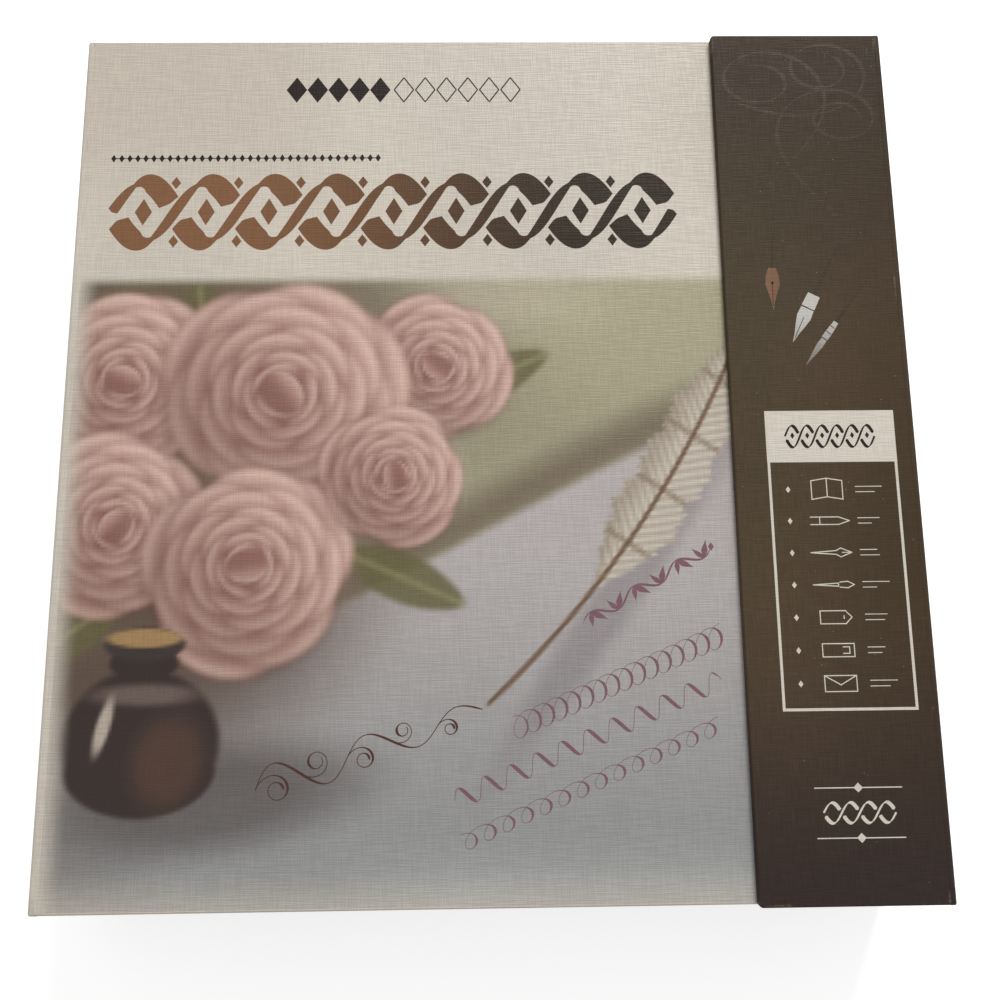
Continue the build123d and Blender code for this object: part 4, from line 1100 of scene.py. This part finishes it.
# %% [markdown]
# ## Ornament on the flap
# The dark flap carries a drawn pen, a brush and a copper nib, a cream panel with a small braid, and a thin
# frame with seven small pictures of what the box holds: book, pen, dip pen, brush, gift tag, bottle tag and
# envelope. Large curls, barely lighter than the paper, fill its head, and an ornament lies at its foot.

# %% Draw the panel, the frame and the pictograms
PANEL_LOW, PANEL_HIGH = np.array((93.1, -9.2)), np.array((137.0, 8.6))
FRAME_LOW = np.array((93.6, -90.2))
LINE, RIM = 0.34, 0.9  # widths of the thin lines and of the frame
LIST_HEAD, LIST_STEP = -18.5, 10.6  # height of the first small picture, and from one to the next
PICTURE_SIZE = (5.2, 4.2)  # one unit of a small picture across and up

panel = slab(*np.stack([PANEL_LOW, PANEL_HIGH], 1), DOORS["flap"][0], FILM)
make_piece("flap_panel", *panel, "flap", "dark_covering", CREAM_INK)
panel_low, panel_high = PANEL_LOW + (6.5, 4.8), PANEL_HIGH - (7, 4.8)
panel_braid = braid(panel_low, panel_high, 6, 0.3, 0.8)
panel_braid += [lozenge((x, 0), 0.7, 1.1) for x in np.linspace(panel_low[0], panel_high[0], 13)[1::2]]
print_on_door("flap", "flap_panel_braid", panel_braid, BLACK_INK, FILM)

# A small picture is a few lines, each drawn from tip to tip. They come in the order that is given above.
PICTOGRAMS = [
    [[(-1, -0.8), (0, -0.6), (1, -0.8), (1, 0.7), (0, 0.9), (-1, 0.7), (-1, -0.8)], [(0, -0.6), (0, 0.9)]],
    [
        [(-1.2, -0.3), (-0.6, -0.3), (-0.6, 0.3), (-1.2, 0.3)],
        [(-0.6, 0.3), (0.6, 0.3), (1.3, 0), (0.6, -0.3), (-0.6, -0.3)],
    ],
    [
        [(-1.3, 0), (0.3, 0.15), (0.6, 0.35), (1.3, 0), (0.6, -0.35), (0.3, -0.15), (-1.3, 0)],
        [(0.7, 0), (1.2, 0)],
    ],
    [
        [(-1.3, 0), (0.3, 0.12), (0.3, -0.12), (-1.3, 0)],
        [(0.4, 0.2), (0.9, 0.25), (1.3, 0), (0.9, -0.25), (0.4, -0.2)],
    ],
    [[(-1, -0.5), (0.6, -0.5), (1, 0), (0.6, 0.5), (-1, 0.5), (-1, -0.5)], [(0.5, -0.1), (0.5, 0.1)]],
    [
        [(-1, -0.5), (1, -0.5), (1, 0.5), (-1, 0.5), (-1, -0.5)],
        [(0.3, -0.25), (0.7, -0.25), (0.7, 0.25), (0.3, 0.25)],
    ],
    [[(-1, -0.6), (1, -0.6), (1, 0.6), (-1, 0.6), (-1, -0.6)], [(-1, 0.6), (0, -0.1), (1, 0.6)]],
]
lines = frame_of(FRAME_LOW, (PANEL_HIGH[0] - 0.5, PANEL_LOW[1]), RIM)
del lines[1]  # the panel closes the frame at its head
for number, pictogram in enumerate(PICTOGRAMS):
    y = LIST_HEAD - number * LIST_STEP
    lines.append(lozenge((99.5, y), 0.8, 1.1))
    for tips in pictogram:
        lines += outline(np.array(tips) * PICTURE_SIZE + (112.5, y), LINE)
    lines.append(bar((122, y + 0.9), (131 - number % 3 * 1.6, y + 0.9), 0.28))
    lines.append(bar((122, y - 0.9), (128.5 - number % 2 * 1.8, y - 0.9), 0.28))
print_on_door("flap", "flap_frame_and_pictures", lines, CREAM_INK)


# %% Draw the tools, the foot ornament and the faint curls
handles = [
    spindle((131, 84), (113, 50), (0.4, 0.7, 1.0, 1.2)),
    spindle((140, 66), (120, 40), (0.4, 0.6, 0.8, 0.9)),
    spindle((101.5, 92), (99, 60), (0.4, 0.6, 0.8, 0.9)),
]
print_on_door("flap", "flap_handles", handles, FAINT_INK)
pen_and_brush = [
    spindle((113, 50), (110.6, 45.4), (4.4, 4.8)),
    spindle((110.4, 45), (104.6, 33), (4.6, 5.0, 3.4, 1.5, 0.2)),
    spindle((120, 40), (115.6, 34.2), (1.7, 2.2, 2.4)),
    spindle((115.4, 33.9), (108.6, 24.8), (2.0, 2.2, 1.6, 0.8, 0.15)),
]
print_on_door("flap", "flap_pen_and_brush", pen_and_brush, SILVER_INK)
copper_nib = [spindle((99, 60), (98.6, 44.5), (2.6, 4.6, 5.0, 3.0, 1.2, 0.15))]
print_on_door("flap", "flap_copper_nib", copper_nib, NIB_INK)
slits = [
    bar((109, 42), (105.4, 34.6), 0.2),
    bar((98.8, 54), (98.6, 46), 0.18),
    lozenge((98.8, 54.4), 0.55, 0.7),
    bar((118.0, 38.8), (119.2, 37.8), 0.25),
    bar((116.4, 36.8), (117.8, 35.7), 0.25),
]
print_on_door("flap", "flap_tool_slits", slits, BLACK_INK, 2 * FILM)

foot = braid((104, -125.5), (127, -118.5), 4, 0.3, 0.9)
foot_rules = (-114.4, -129.6)
foot += [bar((101.5, y), (129.5, y), 0.35) for y in foot_rules]
foot += [lozenge((115.5, y), 1.5, 1.5) for y in foot_rules]
print_on_door("flap", "flap_foot_ornament", foot, CREAM_INK)

# A curl has a box to fill, between its lowest and its highest corner, a first heading and its bends.
curls = (
    ((86, 88), (122, 143), 60, [-120, 620]),
    ((104, 70), (139, 128), 110, [200, -760]),
    ((88, 118), (137, 146), -30, [80, 480]),
)
faint = [inked(fitted(flourish((0, 0), *curl, 100, 180), low, high), 0.3, 1.3) for low, high, *curl in curls]
print_on_door("flap", "flap_faint_curls", faint, FAINT_INK)

# %% [markdown]
# ## Paper hinges
# Each door turns on a strip of its covering paper, bent once at rest. When the door opens, the strip has to
# bend the other way, so a stiff copy would tear. The strip is a profile with a wall of two papers, carried
# along the hinge, with many stations round the bend, and its ends are rounded over. The hollow under the
# bend is filled by two bevelled edges that meet in a mitre: one stays with the case, the other goes with
# the door, so the joint opens like a book cover's.

# %% Make the bending hinge strips
WALL, RADIUS = 0.4, 1.2  # thickness of the folded paper and radius of its bend
END_DEPTHS = np.array([0.0, 0.15, 0.6])  # from a strip's tip to its first three stations
END_SHARES = np.array([0.75, 0.3, 0.0])  # how far the outside is drawn towards the inside there
MITRE = 0.45, 0.85, 1.3  # where a bevel's faces turn, in and down from the edge


def hinge_profile(width, drop):
    """The outside and inside of an L: down the case's wall, round a quarter circle and out over the door."""
    turn = np.linspace(0, np.pi / 2, 13)
    down = np.stack([np.zeros(5), np.linspace(-drop, -RADIUS, 5)], 1)[:-1]
    out = np.stack([np.linspace(RADIUS, width, 5), np.zeros(5)], 1)[1:]
    made = []
    for depth in (0.0, WALL):
        reach = RADIUS - depth
        bend = np.stack([RADIUS - reach * np.cos(turn), reach * np.sin(turn) - RADIUS], 1)
        made.append(np.concatenate([down + (depth, 0), bend, out - (0, depth)]))
    return made


def hinge_strip(door, mirrored):
    """A door's strip, with its profile carried from head to foot, and the two bevels under it."""
    name, node, slot = door + "_hinge_strip", door + "_hinge_paper", DOORS[door][1]
    low, high = corners(node)
    material = covering_paper(name, low, high, mirrored, 0.4)
    side, edge = (-1, high[0]) if mirrored else (1, low[0])
    width, drop = high[0] - low[0], high[2] - low[2]

    def carried(rings, stations):
        """Points of rings, each a row of places out and up from the hinge's edge, one ring to a station."""
        along = np.broadcast_to(np.reshape(stations, (-1, 1)), rings.shape[:2])
        return np.stack([edge + side * rings[..., 0], along, high[2] + rings[..., 1]], -1).reshape(-1, 3)

    outer, inner = hinge_profile(width, drop)
    half = len(outer)
    stations = np.linspace(low[1] + END_DEPTHS[-1], high[1] - END_DEPTHS[-1], 41)[1:-1]
    shares = np.concatenate([END_SHARES, np.zeros(len(stations)), END_SHARES[::-1]])[:, None, None]
    stations = np.concatenate([low[1] + END_DEPTHS, stations, (high[1] - END_DEPTHS)[::-1]])
    rounded = outer + (inner - outer) * shares
    rings = np.concatenate([rounded, np.broadcast_to(inner[::-1], rounded.shape)], 1)
    faces, caps = ring_faces(len(stations), 2 * half).tolist(), []
    last = (len(stations) - 1) * 2 * half
    for k in range(half - 1):
        quad = [k, k + 1, 2 * half - 2 - k, 2 * half - 1 - k]
        caps += [quad[::-1], [last + corner for corner in quad]]
    faces = [face[::side] for face in faces + caps]
    strip = make_piece(name, carried(rings, stations), faces, None, slot, material, smooth=True)
    strip.data.polygons.foreach_set("use_smooth", np.arange(len(faces)) < len(faces) - len(caps))
    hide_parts(node)
    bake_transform(strip)
    near, deep, far = MITRE
    under = [(near, -drop), (near, -far), (near + 0.3, -deep), (width - 0.06, -drop)]
    over = [(width, -drop + 0.1), (deep, -near - 0.3), (far, -near), (width, -near)]
    faces = [face[::side] for face in ring_faces(2, 4).tolist() + [[3, 2, 1, 0], [4, 5, 6, 7]]]
    for body, tips in (("case", under), (door, over)):
        points = carried(np.broadcast_to(tips, (2, 4, 2)), (low[1] + 0.05, high[1] - 0.05))
        make_piece(f"{name}_{body}_bevel", points, faces, body, slot, material)
    print(name + ":", len(strip.data.polygons), "faces")


hinge_strip("cover", False)
hinge_strip("flap", True)

# %% [markdown]
# ## Details inside the box
# The sheets of a stack are fanned, so a border is drawn about the middle of its sheet and then turned with
# it.

# %% Print on the stationery
PAPER_FAN = 0.8  # degrees that the top sheet of a stack is turned


def print_on(node, name, shapes, material, slot, turn=0.0):
    """Ribbons drawn about the middle of the top sheet of a part that lies in the case, turned with it."""
    low, high = corners(node)
    middle = (low + high) / 2
    placed = [(on_slope(middle, turn, *places.T), widths) for places, widths in shapes]
    make_piece(name, *ribbons(placed, high[2] + 0.4 * FILM), "case", slot, material)
    print(name + ":", len(shapes), "ribbons")


def arc(middle, radius, first, last, width):
    """A ribbon of one width along part of a circle, its ends given in degrees."""
    angle = np.radians(np.linspace(first, last, 73))
    places = np.stack([middle[0] + radius * np.cos(angle), middle[1] + radius * np.sin(angle)], 1)
    return places, np.full(len(places), width)


def garland(middle, breadth, swags, sag, width):
    """Swags between beads, a drop under each. A swag hangs by 4 s (1 - s) of its sag, thickest half way."""
    knots = np.linspace(middle[0] - breadth / 2, middle[0] + breadth / 2, swags + 1)
    share = np.linspace(0, 1, 25)
    made = [lozenge((x, middle[1]), 0.8, 1.1) for x in knots]
    for left, right in zip(knots[:-1], knots[1:]):
        places = np.stack([left + share * (right - left), middle[1] - sag * 4 * share * (1 - share)], 1)
        made.append((places, width * (0.4 + 1.2 * np.sin(np.pi * share))))
        made.append(lozenge(((left + right) / 2, middle[1] - sag - 1.7), 0.55, 0.8))
    return made


half = (corners("book_cover")[1] - corners("book_cover")[0])[:2] / 2
book_print = frame_of(7 - half, half - 7, 0.9) + frame_of(9.5 - half, half - 9.5, 0.35)
book_print += braid((-46, 31), (46, 51), 5, 0.8, 3.2)
book_print += [lozenge((x, -24), 3.4, 5.2) for x in np.linspace(-40, 40, 7)]
book_print += [bar((-46, y), (46, y), 0.4) for y in (-14, -34, 24, 58)]
print_on("book_cover", "book_ornament", book_print, UMBER_INK, "book_cover_card")

card_rim = np.array((46.0, 67.5))  # from a card's middle to its printed rim
card_print = frame_of(-card_rim, card_rim, 0.5) + frame_of(2 - card_rim, card_rim - 2, 0.2)
card_print += [lozenge(card_rim * (x, y), 1.6, 2.2) for x in (-1, 1) for y in (-1, 1)]
card_print += garland((0, -54), 50, 5, 2.6, 0.4) + [lozenge((0, 56), 2.2, 3.0)]
card_print += [bar((x, 56), (x + 14, 56), 0.25) for x in (-19, 5)]
print_on("note_cards", "note_card_print", card_print, UMBER_INK, "card_stock", PAPER_FAN)

tips = [(-20.5, -36), (20.5, -36), (20.5, 26.8), (11.3, 36), (-11.3, 36), (-20.5, 26.8)]
tag_print = outline(tips + tips[:1], 0.5)
tag_print += [arc((0, 30.7), 3.6, 0, 360, 0.7), lozenge((0, -4), 3.0, 4.2)]
tag_print += braid((-15, -32), (15, -25), 5, 0.3, 0.9) + garland((0, 18), 30, 3, 3.0, 0.5)
tag_print += [bar((x, -4), (x + 10, -4), 0.3) for x in (-15, 5)]
print_on("gift_tags", "gift_tag_print", tag_print, UMBER_INK, "gift_tag_card", -PAPER_FAN)

neck_print = [arc((0, 19.5), 18, 0, 180, 0.5)] + [bar((x, -37.75), (x, 19.5), 0.5) for x in (-18, 18)]
neck_print += [bar((-18.25, -37.5), (18.25, -37.5), 0.5), lozenge((0, -4), 2.2, 3.2)]
neck_print += garland((0, -14), 26, 4, 2.0, 0.4) + braid((-13, -33), (13, -27), 5, 0.3, 0.8)
print_on("bottle_tags", "bottle_tag_print", neck_print, MAUVE_INK, "bottle_tag_card", -PAPER_FAN)


# %% Put the gold rings on the pen caps
def cap_ring(pen, start=1.4, breadth=2.0, sunk=0.1, proud=0.12, root=0.3, around=64):
    """A rounded band round a cap's mouth: a half-round profile turned about the pen, proud of its skin."""
    low, high = corners(pen + "_cap")
    radius = (high[0] - low[0]) / 2
    swell = np.linspace(0, np.pi, 9)
    out = [start + breadth / 2 * (1 - np.cos(swell)), radius - sunk + (sunk + proud) * np.sin(swell)]
    profile = np.concatenate([np.stack(out, 1), [(start + breadth, radius - root), (start, radius - root)]])
    angle = np.linspace(0, 2 * np.pi, around, endpoint=False)[:, None]
    x = (low[0] + high[0]) / 2 + profile[:, 1] * np.cos(angle)
    z = (low[2] + high[2]) / 2 + profile[:, 1] * np.sin(angle)
    y = low[1] + profile[:, 0] + 0 * angle
    faces = ring_faces(around, len(profile), closed=True).tolist()
    points = np.stack([x, y, z], -1).reshape(-1, 3)
    gold = FINISHES["clip_steel"]
    return make_piece(pen + "_cap_ring", points, faces, pen + "_cap", "clip_steel", gold, smooth=True)


rings = [cap_ring(pen) for pen in ("fine_pen", "broad_pen")]
print("cap rings:", [len(ring.data.polygons) for ring in rings])

# %% [markdown]
# ## Floor and light
# A plain floor takes the box's shadow. It is near-white, and a little light that only the camera, glass and
# mirrors see lifts it to white without lighting the box. One large soft lamp from the upper right models
# the relief of the linen, and an even world fills the shadows.

# %% Lay the floor and hang the lamp
FLOOR_HALF, FLOOR_DROP = 6.0, 0.0002  # half the floor's side and its gap under the box, in metres
FLOOR_GREY = (0.82, 0.82, 0.82, 1.0)
WHITE = (1.0, 1.0, 1.0, 1.0)
GLOW, SKY = 0.62, 0.46  # light that lifts the floor to white, and the sky's light on the box
LAMP_PLACE, LAMP_AIM = (0.62, 2.1, 1.42), (0.0, 0.0, 0.04)  # in metres
LAMP_WATTS, LAMP_SIDE = 56.0, 0.84


def seen_outright(tree):
    """1 for rays that the camera, glass and mirrors send out, and 0 for the light on the box."""
    rays = add(tree, "LightPath").outputs
    sent_on = reckon(tree, "MAXIMUM", rays["Is Glossy Ray"], rays["Is Transmission Ray"])
    return reckon(tree, "MAXIMUM", rays["Is Camera Ray"], sent_on)


floor_material, tree, _ = begin("floor", 0.9, Specular_IOR_Level=0.0, Base_Color=FLOOR_GREY)
glow = {"Color": WHITE, "Strength": reckon(tree, "MULTIPLY", seen_outright(tree), GLOW)}
shader = tree.nodes["Principled BSDF"].outputs[0]
both = add(tree, "AddShader", {0: shader, 1: add(tree, "Emission", glow).outputs[0]}).outputs[0]
tree.links.new(both, tree.nodes["Material Output"].inputs["Surface"])
floor_mesh = bpy.data.meshes.new("floor")
corner_signs = ((-1, -1), (1, -1), (1, 1), (-1, 1))
floor_places = [(x * FLOOR_HALF, y * FLOOR_HALF, -FLOOR_DROP) for x, y in corner_signs]
floor_mesh.from_pydata(floor_places, [], [(0, 1, 2, 3)])
floor_mesh.materials.append(floor_material)
new_object("floor", floor_mesh)

world = bpy.data.worlds.new("studio")
bpy.context.scene.world = world
world.use_nodes = True
sky = world.node_tree
light = sky.nodes["Background"].inputs
level = add(sky, "MapRange", {"Value": seen_outright(sky), "To Min": SKY, "To Max": 1.0}).outputs[0]
sky.links.new(level, light["Strength"])
light["Color"].default_value = WHITE

lamp_data = bpy.data.lights.new("key", "AREA")
lamp_data.energy = LAMP_WATTS
lamp_data.size = LAMP_SIDE
lamp = new_object("key", lamp_data)
lamp.location = LAMP_PLACE
lamp.rotation_euler = (Vector(LAMP_AIM) - lamp.location).to_track_quat("-Z", "Y").to_euler()
bpy.context.scene.view_settings.view_transform = "Standard"
print("floor and lamp are in place")
